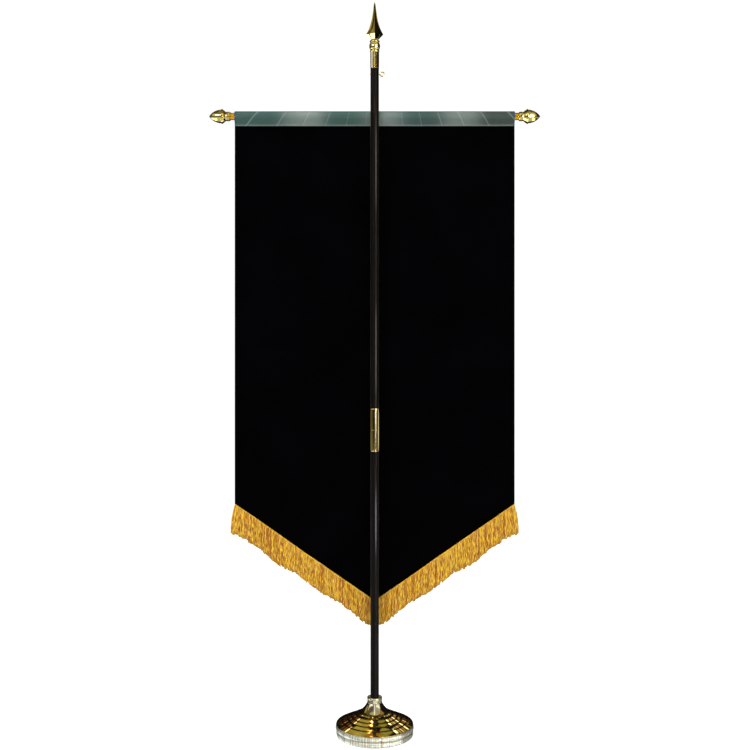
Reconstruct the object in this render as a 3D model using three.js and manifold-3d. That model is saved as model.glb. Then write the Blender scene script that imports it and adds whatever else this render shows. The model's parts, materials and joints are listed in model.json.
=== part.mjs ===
// A church banner on its floor stand: a pointed cloth with a bullion fringe hangs by its heading sleeve
// from a crossbar behind a two-piece pole, which carries a spear finial and stands in a stepped base.
// Millimetres, +Z up, the pole's axis on Z and the floor at zero. The pole is on the -Y side of the cloth.
import * as THREE from "three";
import { mergeVertices } from "three/addons/utils/BufferGeometryUtils.js";
import Module from "manifold-3d";

// Clearance between pieces that meet
const GAP = 0.3;

// Pole, in two lengths that meet inside the joint ferrule
const POLE = { radius: 13.75, bottom: 52.3, split: 987.4, tenonRadius: 11 };
const JOINT = { radius: 14.2, bottom: 917.6, top: 1057 };
const ROUND_SIDES = 24;

// Spear finial above the pole
const FERRULE = { bottom: 2159.3, top: 2212.4, lowRadius: 13.9, topRadius: 14.6, boreDepth: 44 };
const BEAD = { radius: 15.6, height: 6.6 };
const BALL = { radius: 17.6, height: 22, endRadius: 13 };
const COLLAR = { radius: 16.4, height: 8.6, neckRadius: 13.4 };
const SPEAR_HOLLOW = 0.93;
// Half diagonal of the spear's square section at each height above its foot
const SPEAR_SECTIONS = [
  { height: 0, half: 12.8 },
  { height: 3.4, half: 14 },
  { height: 18.2, half: 28.2 },
  { height: 25.9, half: 23.8 },
  { height: 38.9, half: 17.8 },
  { height: 64.9, half: 10.2 },
  { height: 97.3, half: 5 },
  { height: 113.5, half: 3.1 },
  { height: 123.3, half: 0.5 },
];

// Eye bolt through the pole
const EYE = { level: 2139.8, centre: 24.5, ringRadius: 6.8, wire: 1.7, stub: 1.6, boreRadius: 2.1 };

// Crossbar with turned-down ends, and an acorn on each end
const BAR = { level: 2006.8, radius: 15, tipRadius: 12.1, shoulder: 454, tip: 471 };
const ACORN = { innerRadius: 13.8, barrelRadius: 15.6, barrel: 14.2, cap: 14 };
const NUT = { rimRadius: 25.4, radius: 22.4, tip: 541.5 };

// Heading sleeve and cloth
const SLEEVE = { wall: 1.5, ease: 0.4, seam: 1975.3, tuck: 9 };
const CLOTH = { width: 914.4, thick: 1.5, corner: 742.1, point: 424.5, columns: 28, rows: 16, flatTop: 60 };
// Soft ridges and troughs of the hanging cloth: where each runs, its half width, depth and sideways drift
const FOLDS = [
  { at: -365, wide: 62, deep: 3.4, drift: 0.03 },
  { at: -225, wide: 78, deep: -2.8, drift: -0.02 },
  { at: -80, wide: 66, deep: 2.2, drift: 0.02 },
  { at: 90, wide: 84, deep: -3.1, drift: 0.03 },
  { at: 240, wide: 70, deep: 2.9, drift: -0.03 },
  { at: 385, wide: 60, deep: -2.4, drift: 0.02 },
];

// Bullion fringe along both lower edges
const FRINGE = { strands: 150, bay: 5, strand: 2.2, depth: 3, strip: 6, length: 95 };
const FRINGE_TIP = { taper: 0.9, sway: 0.8, wave: 4, waveLength: 142, ragged: 5, flare: 13, flareRun: 45 };
// How far down the strands that splay out at the fringe's outer end bend, and the share of the splay there
const SPLAY = [
  { down: 0.3, share: 0.62 },
  { down: 1, share: 1 },
];
const STRAIGHT = [{ down: 1, share: 1 }];
// Places along the edge where the strands part
const PARTINGS = [
  { at: 55, opening: 1.3, run: 18 },
  { at: 199, opening: 1.4, run: 20 },
  { at: 340, opening: 1.2, run: 17 },
];

// Weighted base: two reeded bands with a thin band between them, a stepped dome and a socket
const REEDS = { count: 138, depth: 1.3 };
const RIM_LOWER = { bottom: 0, top: 17.2, lowRadius: 125, topRadius: 124.2 };
const RIM_GROOVE = { bottom: 17.5, top: 18.9, radius: 122.4 };
const RIM_UPPER = { bottom: 19.2, top: 34.8, lowRadius: 127.5, topRadius: 125.4 };
const DOME = { bottom: 35.1, radius: 124.4, neckRadius: 23.8, neckTop: 103.8, bore: 14.15, boreFloor: 52 };
// Rings of the dome from the rim inwards: radii, height at the foot and at the crown, bulge and facets
const DOME_RINGS = [
  { outer: 124.8, inner: 104.4, foot: 36.2, crown: 45.2, bulge: 1.8, steps: 4 },
  { outer: 103.8, inner: 88.4, foot: 46.6, crown: 52.4, bulge: 1.2, steps: 3 },
  { outer: 87.8, inner: 74.4, foot: 53.8, crown: 59.6, bulge: 0.9, steps: 2 },
  { outer: 73.8, inner: 60.4, foot: 61, crown: 66.8, bulge: 0.8, steps: 2 },
  { outer: 59.8, inner: 48.4, foot: 68.2, crown: 73.8, bulge: 0.6, steps: 2 },
];
// The neck's sweep is an ellipse's where the power is 1, and nearer a straight slope above that
const FLARE = { radius: 47.8, level: 75, power: 1.6 };
const SOCKET = { bottom: 104.1, top: 122.5, radius: 23.4, lipRadius: 24.1, lip: 5 };
const BASE_SIDES = 44;

const halfWidth = CLOTH.width / 2;
const sleeveRadius = BAR.radius + SLEEVE.ease + SLEEVE.wall;
const barY = POLE.radius + GAP + sleeveRadius;
const edgeSlope = (CLOTH.corner - CLOTH.point) / halfWidth;
const edgeLean = Math.hypot(1, edgeSlope);

const FINISHES = {
  brass: { color: 0xc8a044, roughness: 0.18, metalness: 1 },
  gilt: { color: 0xdba520, roughness: 0.25, metalness: 1 },
  nickel: { color: 0xd2d0c4, roughness: 0.3, metalness: 1 },
  ebonisedWood: { color: 0x1d1713, roughness: 0.25, metalness: 0 },
  blackCloth: { color: 0x070707, roughness: 0.95, metalness: 0 },
  satin: { color: 0x4d675e, roughness: 0.6, metalness: 0 },
  bullion: { color: 0xdaa532, roughness: 0.6, metalness: 0 },
};

const wasm = await Module();
wasm.setup();

const banner = new THREE.Group();

function addPiece(name, finish, geometry) {
  const piece = new THREE.Mesh(geometry, new THREE.MeshStandardMaterial(FINISHES[finish]));
  piece.name = name;
  banner.add(piece);
  return piece;
}

// A repeatable number from 0 to 1 for each whole number
function scatter(n) {
  const wave = Math.sin(n * 12.9898) * 43758.5453;
  return wave - Math.floor(wave);
}

function smooth(t) {
  const s = THREE.MathUtils.clamp(t, 0, 1);
  return s * s * (3 - 2 * s);
}

function meshFrom(points, triangles) {
  const geometry = new THREE.BufferGeometry().setFromPoints(points);
  geometry.setIndex(triangles);
  geometry.computeVertexNormals();
  return geometry;
}

function solidOf(geometry) {
  const bare = geometry.clone().deleteAttribute("normal").deleteAttribute("uv");
  const merged = mergeVertices(bare, 1e-3);
  const mesh = new wasm.Mesh({
    numProp: 3,
    vertProperties: merged.attributes.position.array,
    triVerts: new Uint32Array(merged.index.array),
  });
  return new wasm.Manifold(mesh);
}

function geometryOf(solid) {
  const mesh = solid.getMesh();
  const geometry = new THREE.BufferGeometry();
  geometry.setAttribute("position", new THREE.BufferAttribute(mesh.vertProperties, 3));
  geometry.setIndex(new THREE.BufferAttribute(mesh.triVerts, 1));
  geometry.computeVertexNormals();
  return geometry;
}

// A turned piece about Z from a profile of [radius, height] pairs, listed from the bottom up
function turned(profile, sides = ROUND_SIDES) {
  const points = profile.map(([radius, height]) => new THREE.Vector2(radius, height));
  return new THREE.LatheGeometry(points, sides).rotateX(Math.PI / 2);
}

// A solid skinned over rings of points, listed from the bottom up, each ring turning anticlockwise from above
function skinned(rings) {
  const count = rings[0].length;
  const points = rings.flat();
  const triangles = [];
  for (let k = 0; k + 1 < rings.length; k++) {
    for (let i = 0; i < count; i++) {
      const a = k * count + i;
      const b = k * count + ((i + 1) % count);
      triangles.push(a, b, b + count, a, b + count, a + count);
    }
  }
  const centreOf = (ring) => ring.reduce((sum, p) => sum.add(p), new THREE.Vector3()).divideScalar(count);
  const low = points.push(centreOf(rings[0])) - 1;
  const high = points.push(centreOf(rings[rings.length - 1])) - 1;
  const topStart = (rings.length - 1) * count;
  for (let i = 0; i < count; i++) {
    const next = (i + 1) % count;
    triangles.push(low, next, i, high, topStart + i, topStart + next);
  }
  return meshFrom(points, triangles);
}

// Weighted base
function reededRing(radius, level) {
  const ring = [];
  for (let i = 0; i < 2 * REEDS.count; i++) {
    const reach = i % 2 ? radius - REEDS.depth : radius;
    const angle = (i * Math.PI) / REEDS.count;
    ring.push(new THREE.Vector3(reach * Math.cos(angle), reach * Math.sin(angle), level));
  }
  return ring;
}

function reededBand({ bottom, top, lowRadius, topRadius }) {
  return skinned([reededRing(lowRadius, bottom), reededRing(topRadius, top)]);
}

function grooveBand() {
  const { bottom, top, radius } = RIM_GROOVE;
  return turned([[0, bottom], [radius, bottom], [radius, top], [0, top]], BASE_SIDES);
}

// Each ring of the dome rises in a shallow bulge and ends in a small step up to the next ring
function domeRing({ outer, inner, foot, crown, bulge, steps }) {
  const run = [];
  for (let i = 0; i <= steps; i++) {
    const t = i / steps;
    const lift = bulge * Math.sin(Math.PI * t);
    run.push([THREE.MathUtils.lerp(outer, inner, t), THREE.MathUtils.lerp(foot, crown, t) + lift]);
  }
  return run;
}

// The neck sweeps up from the innermost ring to the socket
function domeFlare() {
  const steps = 5;
  const run = [];
  for (let i = 0; i <= steps; i++) {
    const turn = (i / steps) * (Math.PI / 2);
    const inward = (FLARE.radius - DOME.neckRadius) * Math.sin(turn) ** FLARE.power;
    const below = (DOME.neckTop - FLARE.level) * Math.max(0, Math.cos(turn)) ** FLARE.power;
    run.push([FLARE.radius - inward, DOME.neckTop - below]);
  }
  return run;
}

function dome() {
  const profile = [[0, DOME.bottom], [DOME.radius, DOME.bottom]];
  profile.push(...DOME_RINGS.flatMap(domeRing), ...domeFlare());
  profile.push([DOME.bore, DOME.neckTop], [DOME.bore, DOME.boreFloor], [0, DOME.boreFloor]);
  return turned(profile, BASE_SIDES);
}

function socket() {
  const { bottom, top, radius, lipRadius, lip } = SOCKET;
  const profile = [
    [DOME.bore, bottom],
    [radius, bottom],
    [radius, top - lip],
    [lipRadius, top - 0.75 * lip],
    [lipRadius, top - 0.3 * lip],
    [lipRadius - 1.6, top],
    [DOME.bore, top],
    [DOME.bore, bottom],
  ];
  return turned(profile, BASE_SIDES);
}

// Pole and its joint
function lowerPole() {
  const shoulder = JOINT.bottom - GAP;
  const end = POLE.split - GAP / 2;
  const { radius, tenonRadius, bottom } = POLE;
  const profile = [
    [0, bottom],
    [radius, bottom],
    [radius, shoulder],
    [tenonRadius, shoulder],
    [tenonRadius, end],
    [0, end],
  ];
  return turned(profile);
}

function upperPole() {
  const { radius, tenonRadius, split } = POLE;
  const foot = split + GAP / 2;
  const shoulder = JOINT.top + GAP;
  const top = FERRULE.bottom - GAP;
  const tenonTop = FERRULE.bottom + FERRULE.boreDepth - GAP;
  const profile = [
    [0, foot],
    [tenonRadius, foot],
    [tenonRadius, shoulder],
    [radius, shoulder],
    [radius, top],
    [tenonRadius, top],
    [tenonRadius, tenonTop],
    [0, tenonTop],
  ];
  const bore = crossRod(EYE.boreRadius, -2 * radius, 2 * radius);
  return geometryOf(solidOf(turned(profile)).subtract(solidOf(bore)));
}

function jointFerrule() {
  const inner = POLE.tenonRadius + GAP;
  const { radius, bottom, top } = JOINT;
  return turned([[inner, bottom], [radius, bottom], [radius, top], [inner, top], [inner, bottom]]);
}

// A rod across the pole at the level of the eye bolt
function crossRod(radius, from, to) {
  const rod = new THREE.CylinderGeometry(radius, radius, to - from, 12);
  return rod.rotateZ(-Math.PI / 2).translate((from + to) / 2, 0, EYE.level);
}

function eyeBolt() {
  const shank = crossRod(EYE.wire, -POLE.radius - EYE.stub, EYE.centre - EYE.ringRadius + EYE.wire / 2);
  const ring = new THREE.TorusGeometry(EYE.ringRadius, EYE.wire, 8, 20);
  ring.rotateX(Math.PI / 2).translate(EYE.centre, 0, EYE.level);
  return geometryOf(solidOf(ring).add(solidOf(shank)));
}

// Spear finial: ferrule with a bead, ball with a collar, and the four-sided head
const ballFoot = FERRULE.top + BEAD.height + GAP;
const spearFoot = ballFoot + BALL.height + COLLAR.height + GAP;

function finialFerrule() {
  const bore = POLE.tenonRadius + GAP;
  const boreTop = FERRULE.bottom + FERRULE.boreDepth;
  const { bottom, top, lowRadius, topRadius } = FERRULE;
  const beadTop = top + BEAD.height;
  return turned([
    [0, boreTop],
    [bore, boreTop],
    [bore, bottom],
    [lowRadius, bottom],
    [topRadius, top],
    [BEAD.radius, top + 0.3 * BEAD.height],
    [BEAD.radius, top + 0.65 * BEAD.height],
    [BALL.endRadius, beadTop],
    [0, beadTop],
  ]);
}

function finialBall() {
  const steps = 8;
  const profile = [[0, ballFoot]];
  for (let i = 0; i <= steps; i++) {
    const t = i / steps;
    const swell = (BALL.radius - BALL.endRadius) * Math.sqrt(1 - (2 * t - 1) ** 2);
    profile.push([BALL.endRadius + swell, ballFoot + t * BALL.height]);
  }
  const collarFoot = ballFoot + BALL.height;
  profile.push([COLLAR.neckRadius, collarFoot + 0.15 * COLLAR.height]);
  profile.push([COLLAR.radius, collarFoot + 0.35 * COLLAR.height]);
  profile.push([COLLAR.radius, collarFoot + 0.65 * COLLAR.height]);
  profile.push([COLLAR.neckRadius, collarFoot + COLLAR.height], [0, collarFoot + COLLAR.height]);
  return turned(profile);
}

// Corners of the head point left, right, to the front and to the back, with hollow faces between them
function finialSpear() {
  const ring = ({ height, half }) => {
    const corners = [];
    for (let i = 0; i < 8; i++) {
      const angle = (i * Math.PI) / 4;
      const reach = i % 2 ? half * Math.SQRT1_2 * SPEAR_HOLLOW : half;
      corners.push(new THREE.Vector3(reach * Math.cos(angle), reach * Math.sin(angle), spearFoot + height));
    }
    return corners;
  };
  return skinned(SPEAR_SECTIONS.map(ring));
}

// Crossbar and its acorns lie along X behind the pole
function crossbar() {
  const { radius, tipRadius, shoulder, tip } = BAR;
  const profile = [
    [0, -tip],
    [tipRadius, -tip],
    [tipRadius, -shoulder],
    [radius, -shoulder],
    [radius, shoulder],
    [tipRadius, shoulder],
    [tipRadius, tip],
    [0, tip],
  ];
  return turned(profile);
}

// Barrel, cap with a sharp rim, and a pointed nut whose outline is an arc
function acorn() {
  const foot = BAR.tip + GAP;
  const capFoot = foot + ACORN.barrel;
  const rim = capFoot + ACORN.cap;
  const nutLength = NUT.tip - rim;
  const arcRadius = (NUT.radius ** 2 + nutLength ** 2) / (2 * NUT.radius);
  const steps = 7;
  const profile = [
    [0, foot],
    [ACORN.innerRadius, foot],
    [ACORN.barrelRadius, foot + 0.35 * ACORN.barrel],
    [ACORN.barrelRadius, foot + 0.75 * ACORN.barrel],
    [ACORN.barrelRadius - 0.6, capFoot],
    [NUT.rimRadius - 4, rim - 0.42 * ACORN.cap],
    [NUT.rimRadius, rim],
  ];
  for (let i = 0; i <= steps; i++) {
    const along = (i / steps) * nutLength;
    const drop = arcRadius - Math.sqrt(arcRadius ** 2 - along ** 2);
    profile.push([NUT.radius - drop, rim + along]);
  }
  return turned(profile);
}

function alongBar(piece, turn) {
  piece.rotation.y = turn;
  piece.position.set(0, barY, BAR.level);
}

// Heading sleeve: one strip over the bar, drawn together below it and sewn to both faces of the cloth
function sleeveLine() {
  const radius = sleeveRadius - SLEEVE.wall / 2;
  const leg = (CLOTH.thick + SLEEVE.wall) / 2 + GAP;
  const seamTop = SLEEVE.seam + SLEEVE.tuck - BAR.level;
  const reach = Math.hypot(leg, seamTop);
  const touch = Math.atan2(seamTop, leg) + Math.acos(radius / reach);
  const steps = 16;
  const line = [[leg, SLEEVE.seam - BAR.level], [leg, seamTop]];
  for (let i = 0; i <= steps; i++) {
    const angle = THREE.MathUtils.lerp(touch, Math.PI - touch, i / steps);
    line.push([radius * Math.cos(angle), radius * Math.sin(angle)]);
  }
  line.push([-leg, seamTop], [-leg, SLEEVE.seam - BAR.level]);
  return line.map(([across, up]) => new THREE.Vector2(across, up));
}

// The line moved sideways, to its right where the distance is above zero
function besideLine(line, distance) {
  const normals = line.slice(1).map((p, i) => {
    const run = p.clone().sub(line[i]).normalize();
    return new THREE.Vector2(run.y, -run.x);
  });
  return line.map((p, i) => {
    const before = normals[Math.max(i - 1, 0)];
    const after = normals[Math.min(i, normals.length - 1)];
    const mean = before.clone().add(after).normalize();
    return p.clone().addScaledVector(mean, distance / mean.dot(after));
  });
}

function headingSleeve() {
  const line = sleeveLine();
  const outside = besideLine(line, SLEEVE.wall / 2);
  const inside = besideLine(line, -SLEEVE.wall / 2).reverse();
  const section = new THREE.Shape([...outside, ...inside]);
  const strip = new THREE.ExtrudeGeometry(section, { depth: CLOTH.width, bevelEnabled: false });
  strip.translate(0, 0, -halfWidth).rotateY(Math.PI / 2).rotateX(Math.PI / 2);
  return strip.translate(0, barY, BAR.level);
}

// Cloth: a flat-hung sheet with shallow folds that fade out below the sleeve
const clothTop = SLEEVE.seam + SLEEVE.tuck - GAP;

function clothEdge(x) {
  return CLOTH.point + edgeSlope * Math.abs(x);
}

function clothY(x, z) {
  const below = clothTop - z;
  const growth = smooth((below - CLOTH.flatTop) / (clothTop - CLOTH.corner));
  let offset = 0;
  for (const { at, wide, deep, drift } of FOLDS) {
    const away = (x - at - drift * below) / wide;
    offset += deep * Math.exp(-away * away);
  }
  return barY + growth * offset;
}

function cloth() {
  const { columns, rows, thick } = CLOTH;
  const points = [];
  const triangles = [];
  for (const side of [-1, 1]) {
    for (let r = 0; r <= rows; r++) {
      for (let c = 0; c <= columns; c++) {
        const x = THREE.MathUtils.lerp(-halfWidth, halfWidth, c / columns);
        const z = THREE.MathUtils.lerp(clothTop, clothEdge(x), r / rows);
        points.push(new THREE.Vector3(x, clothY(x, z) + (side * thick) / 2, z));
      }
    }
  }
  const back = points.length / 2;
  const at = (r, c) => r * (columns + 1) + c;
  const face = (a, b, c, d) => triangles.push(a, b, c, a, c, d);
  for (let r = 0; r < rows; r++) {
    for (let c = 0; c < columns; c++) {
      face(at(r, c), at(r + 1, c), at(r + 1, c + 1), at(r, c + 1));
      face(back + at(r, c), back + at(r, c + 1), back + at(r + 1, c + 1), back + at(r + 1, c));
    }
  }
  const rim = [];
  for (let c = 0; c < columns; c++) rim.push(at(0, c));
  for (let r = 0; r < rows; r++) rim.push(at(r, columns));
  for (let c = columns; c > 0; c--) rim.push(at(rows, c));
  for (let r = rows; r > 0; r--) rim.push(at(r, 0));
  rim.forEach((a, i) => {
    const b = rim[(i + 1) % rim.length];
    face(a, b, back + b, back + a);
  });
  return meshFrom(points, triangles);
}

// Fringe: a narrow strip below the cloth's edge, with a four-sided strand drawn down from each of its bays
function strandTip(x, n) {
  const { sway, wave, waveLength, ragged, flare, flareRun } = FRINGE_TIP;
  const outward = flare * smooth((x - halfWidth + flareRun) / flareRun) ** 2;
  const parted = PARTINGS.reduce((sum, { at, opening, run }) => {
    const away = (x - at) / run;
    return sum + Math.sign(away) * opening * Math.exp(-away * away);
  }, 0);
  const roll = wave * Math.sin((2 * Math.PI * x) / waveLength);
  return {
    outward,
    parted,
    lift: sway * (n % 2 ? 1 : -1) * scatter(n),
    length: FRINGE.length + roll + ragged * (scatter(n + 0.5) - 0.5),
  };
}

function fringe(side) {
  const { strands, bay, strand, depth, strip } = FRINGE;
  const pitch = halfWidth / strands;
  const stripTop = (x) => clothEdge(x) - GAP * edgeLean;
  const stripFoot = (x) => stripTop(x) - strip * edgeLean;
  const points = [];
  const triangles = [];
  const face = (a, b, c, d) => triangles.push(a, b, c, a, c, d);

  // A front and a back point of the strip, at one place along it
  function addPair(x, z) {
    const y = clothY(side * x, clothEdge(x));
    points.push(new THREE.Vector3(x, y - depth / 2, z), new THREE.Vector3(x, y + depth / 2, z));
    return { x, front: points.length - 2, back: points.length - 1 };
  }

  function hangStrand(left, right, middle, n) {
    const { outward, parted, lift, length } = strandTip(middle, n);
    const foot = clothEdge(middle) - stripFoot(middle);
    let ring = [left.front, right.front, right.back, left.back];
    for (const { down, share } of outward > 1 ? SPLAY : STRAIGHT) {
      const slim = THREE.MathUtils.lerp(1, FRINGE_TIP.taper, down) / 2;
      const half = { x: strand * slim, y: depth * slim };
      const x = middle + outward * share + parted * down;
      const y = clothY(side * middle, clothEdge(middle)) + lift * down;
      const z = clothEdge(middle) - THREE.MathUtils.lerp(foot, length, down);
      const next = points.length;
      points.push(new THREE.Vector3(x - half.x, y - half.y, z), new THREE.Vector3(x + half.x, y - half.y, z));
      points.push(new THREE.Vector3(x + half.x, y + half.y, z), new THREE.Vector3(x - half.x, y + half.y, z));
      for (let i = 0; i < 4; i++) {
        const j = (i + 1) % 4;
        face(ring[i], next + i, next + j, ring[j]);
      }
      ring = [next, next + 1, next + 2, next + 3];
    }
    face(ring[0], ring[3], ring[2], ring[1]);
  }

  const start = GAP / 2;
  const upper = [addPair(start, stripTop(start))];
  for (let n = bay; n <= strands; n += bay) upper.push(addPair(n * pitch, stripTop(n * pitch)));
  const lower = [addPair(start, stripFoot(start))];
  for (let n = 0; n < strands; n++) {
    const middle = (n + 0.5) * pitch;
    const [from, to] = [middle - strand / 2, middle + strand / 2];
    const left = addPair(from, stripFoot(from));
    const right = addPair(to, stripFoot(to));
    lower.push(left, right);
    hangStrand(left, right, middle, n);
  }
  lower.push(addPair(halfWidth, stripFoot(halfWidth)));

  // Undersides of the strip between the strands, its top and its two ends
  for (let i = 0; i < lower.length; i += 2) {
    const [a, b] = [lower[i], lower[i + 1]];
    face(a.front, a.back, b.back, b.front);
  }
  upper.slice(1).forEach((b, i) => face(upper[i].front, b.front, b.back, upper[i].back));
  const [lastLow, lastHigh] = [lower[lower.length - 1], upper[upper.length - 1]];
  face(lower[0].front, upper[0].front, upper[0].back, lower[0].back);
  face(lastLow.front, lastLow.back, lastHigh.back, lastHigh.front);

  // Front and back of the strip, stepping along whichever of its two edges is behind
  let low = 0;
  let high = 0;
  while (low + 1 < lower.length || high + 1 < upper.length) {
    const [a, b] = [lower[low], upper[high]];
    const highDone = high + 1 === upper.length;
    const lowBehind = low + 1 < lower.length && (highDone || lower[low + 1].x <= upper[high + 1].x);
    if (lowBehind) low += 1;
    else high += 1;
    const next = lowBehind ? lower[low] : upper[high];
    triangles.push(a.front, next.front, b.front, a.back, b.back, next.back);
  }

  if (side < 0) {
    points.forEach((p) => p.setX(-p.x));
    triangles.reverse();
  }
  return meshFrom(points, triangles);
}

addPiece("base_rim_lower", "nickel", reededBand(RIM_LOWER));
addPiece("base_groove_band", "gilt", grooveBand());
addPiece("base_rim_upper", "nickel", reededBand(RIM_UPPER));
addPiece("base_dome", "brass", dome());
addPiece("base_socket", "brass", socket());
addPiece("pole_lower", "ebonisedWood", lowerPole());
addPiece("pole_upper", "ebonisedWood", upperPole());
addPiece("joint_ferrule", "brass", jointFerrule());
addPiece("eye_bolt", "brass", eyeBolt());
addPiece("finial_ferrule", "brass", finialFerrule());
addPiece("finial_ball", "brass", finialBall());
addPiece("finial_spear", "brass", finialSpear());
alongBar(addPiece("crossbar", "gilt", crossbar()), Math.PI / 2);
alongBar(addPiece("acorn_right", "brass", acorn()), Math.PI / 2);
alongBar(addPiece("acorn_left", "brass", acorn()), -Math.PI / 2);
addPiece("heading_sleeve", "satin", headingSleeve());
addPiece("banner_cloth", "blackCloth", cloth());
addPiece("fringe_left", "bullion", fringe(-1));
addPiece("fringe_right", "bullion", fringe(1));

export default banner;
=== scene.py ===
"""Church banner on a floor stand: the looks of every piece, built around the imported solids.

Run as a script it makes the pieces, one operator at a time, and then the stage.
Lengths are in metres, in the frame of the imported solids: +Z up, the pole's axis on Z, the floor at zero,
and the cloth behind the pole, on the +Y side.
"""
import json
import math
from functools import partial

import bpy
import numpy as np
from bpy.props import FloatProperty, FloatVectorProperty, IntProperty, PointerProperty
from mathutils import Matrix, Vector

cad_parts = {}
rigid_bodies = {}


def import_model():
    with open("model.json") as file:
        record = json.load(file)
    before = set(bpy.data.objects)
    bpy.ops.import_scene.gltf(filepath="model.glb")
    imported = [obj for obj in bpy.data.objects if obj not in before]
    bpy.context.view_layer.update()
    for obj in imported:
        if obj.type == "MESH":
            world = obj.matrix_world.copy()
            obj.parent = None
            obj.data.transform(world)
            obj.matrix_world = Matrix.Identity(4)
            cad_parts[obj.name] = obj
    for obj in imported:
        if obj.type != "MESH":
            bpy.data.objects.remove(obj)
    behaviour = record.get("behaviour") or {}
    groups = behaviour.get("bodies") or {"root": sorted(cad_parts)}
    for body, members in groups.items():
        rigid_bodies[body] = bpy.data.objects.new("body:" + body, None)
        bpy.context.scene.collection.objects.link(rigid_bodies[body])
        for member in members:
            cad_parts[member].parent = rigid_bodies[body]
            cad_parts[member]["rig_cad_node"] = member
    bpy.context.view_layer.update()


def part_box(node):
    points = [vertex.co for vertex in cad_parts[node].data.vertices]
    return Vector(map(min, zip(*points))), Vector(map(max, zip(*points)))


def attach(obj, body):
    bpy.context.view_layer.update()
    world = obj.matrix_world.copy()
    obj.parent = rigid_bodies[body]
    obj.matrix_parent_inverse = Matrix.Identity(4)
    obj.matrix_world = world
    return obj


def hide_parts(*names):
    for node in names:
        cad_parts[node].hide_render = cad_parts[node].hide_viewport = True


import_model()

bl_info = {
    "name": "Church Banner on a Floor Stand",
    "version": (1, 0, 0),
    "blender": (4, 5, 0),
    "location": "3D View > Sidebar > Banner",
    "description": "Builds a pointed church banner with a bullion fringe, and its wood and brass stand",
    "category": "Add Mesh",
}

MM = 0.001
BODY = "root"
SEED = 11

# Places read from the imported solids
CLOTH_LOW, CLOTH_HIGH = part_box("banner_cloth")
SLEEVE_LOW, SLEEVE_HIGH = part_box("heading_sleeve")
BAR_LOW, BAR_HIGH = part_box("crossbar")
LOWER_POLE_LOW, LOWER_POLE_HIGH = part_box("pole_lower")
UPPER_POLE_LOW, UPPER_POLE_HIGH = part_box("pole_upper")
JOINT_LOW, JOINT_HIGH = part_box("joint_ferrule")
EYE_LOW, EYE_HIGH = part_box("eye_bolt")
FERRULE_LOW, FERRULE_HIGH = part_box("finial_ferrule")
BALL_LOW, BALL_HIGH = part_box("finial_ball")
SPEAR_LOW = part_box("finial_spear")[0]
ACORN_LOW, ACORN_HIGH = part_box("acorn_right")
RIM_LOWER_LOW, RIM_LOWER_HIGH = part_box("base_rim_lower")
RIM_UPPER_LOW, RIM_UPPER_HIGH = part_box("base_rim_upper")
GROOVE_LOW, GROOVE_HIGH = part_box("base_groove_band")
DOME_LOW, DOME_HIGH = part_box("base_dome")
SOCKET_LOW, SOCKET_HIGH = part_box("base_socket")

HALF_WIDTH = CLOTH_HIGH.x
BAR_RADIUS = (BAR_HIGH.z - BAR_LOW.z) / 2
BAR_LEVEL = (BAR_HIGH.z + BAR_LOW.z) / 2
BAR_Y = (BAR_HIGH.y + BAR_LOW.y) / 2
POLE_RADIUS = UPPER_POLE_HIGH.x
SOCKET_BORE = 14.15 * MM
TENON_RADIUS = 11 * MM
TENON_BORE = 11.3 * MM
# Play between pieces that are fitted or sewn together
GAP = 0.3 * MM
# Radius at the top of each reeded band, as a share of the radius at its foot
RIM_LOWER_TOP = 0.9936
RIM_UPPER_TOP = 0.9835

# Soft ridges and troughs of the hanging cloth, in millimetres: place, half width, depth and sideways drift
FOLDS = (
    {"at": -365, "wide": 62, "deep": 3.4, "drift": 0.03},
    {"at": -225, "wide": 78, "deep": -2.8, "drift": -0.02},
    {"at": -80, "wide": 66, "deep": 2.2, "drift": 0.02},
    {"at": 90, "wide": 84, "deep": -3.1, "drift": 0.03},
    {"at": 240, "wide": 70, "deep": 2.9, "drift": -0.03},
    {"at": 385, "wide": 60, "deep": -2.4, "drift": 0.02},
)
# Places along the fringe where its strands part, in millimetres from the middle
PARTINGS = (
    {"at": 55, "opening": 1.3, "run": 18},
    {"at": 199, "opening": 1.4, "run": 20},
    {"at": 340, "opening": 1.2, "run": 17},
)
# Half diagonal of the spear's square section at each height above its foot, in millimetres
SPEAR_SECTIONS = (
    {"height": 0, "half": 12.8},
    {"height": 3.4, "half": 14},
    {"height": 4.2, "half": 14.8},
    {"height": 18.2, "half": 28.2},
    {"height": 25.9, "half": 23.8},
    {"height": 38.9, "half": 17.8},
    {"height": 64.9, "half": 10.2},
    {"height": 97.3, "half": 5},
    {"height": 113.5, "half": 3.1},
    {"height": 123.3, "half": 0.5},
)
# The row of that table at which the spear is widest
SPEAR_SHOULDER = 3
# Rings of the dome from the rim inwards, in millimetres: radii, height at the foot and the crown, and bulge
DOME_RINGS = (
    {"outer": 124.8, "inner": 104.4, "foot": 36.2, "crown": 45.2, "bulge": 0.15},
    {"outer": 103.8, "inner": 88.4, "foot": 46.6, "crown": 52.4, "bulge": 0.15},
    {"outer": 87.8, "inner": 74.4, "foot": 53.8, "crown": 59.6, "bulge": 0.15},
    {"outer": 73.8, "inner": 60.4, "foot": 61.0, "crown": 66.8, "bulge": 0.15},
    {"outer": 59.8, "inner": 48.4, "foot": 68.2, "crown": 73.8, "bulge": 0.15},
)
# Foot of the dome's flared neck, in millimetres, and how hollow its curve is
FLARE = {"radius": 47.8, "level": 75, "power": 1.6}
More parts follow.
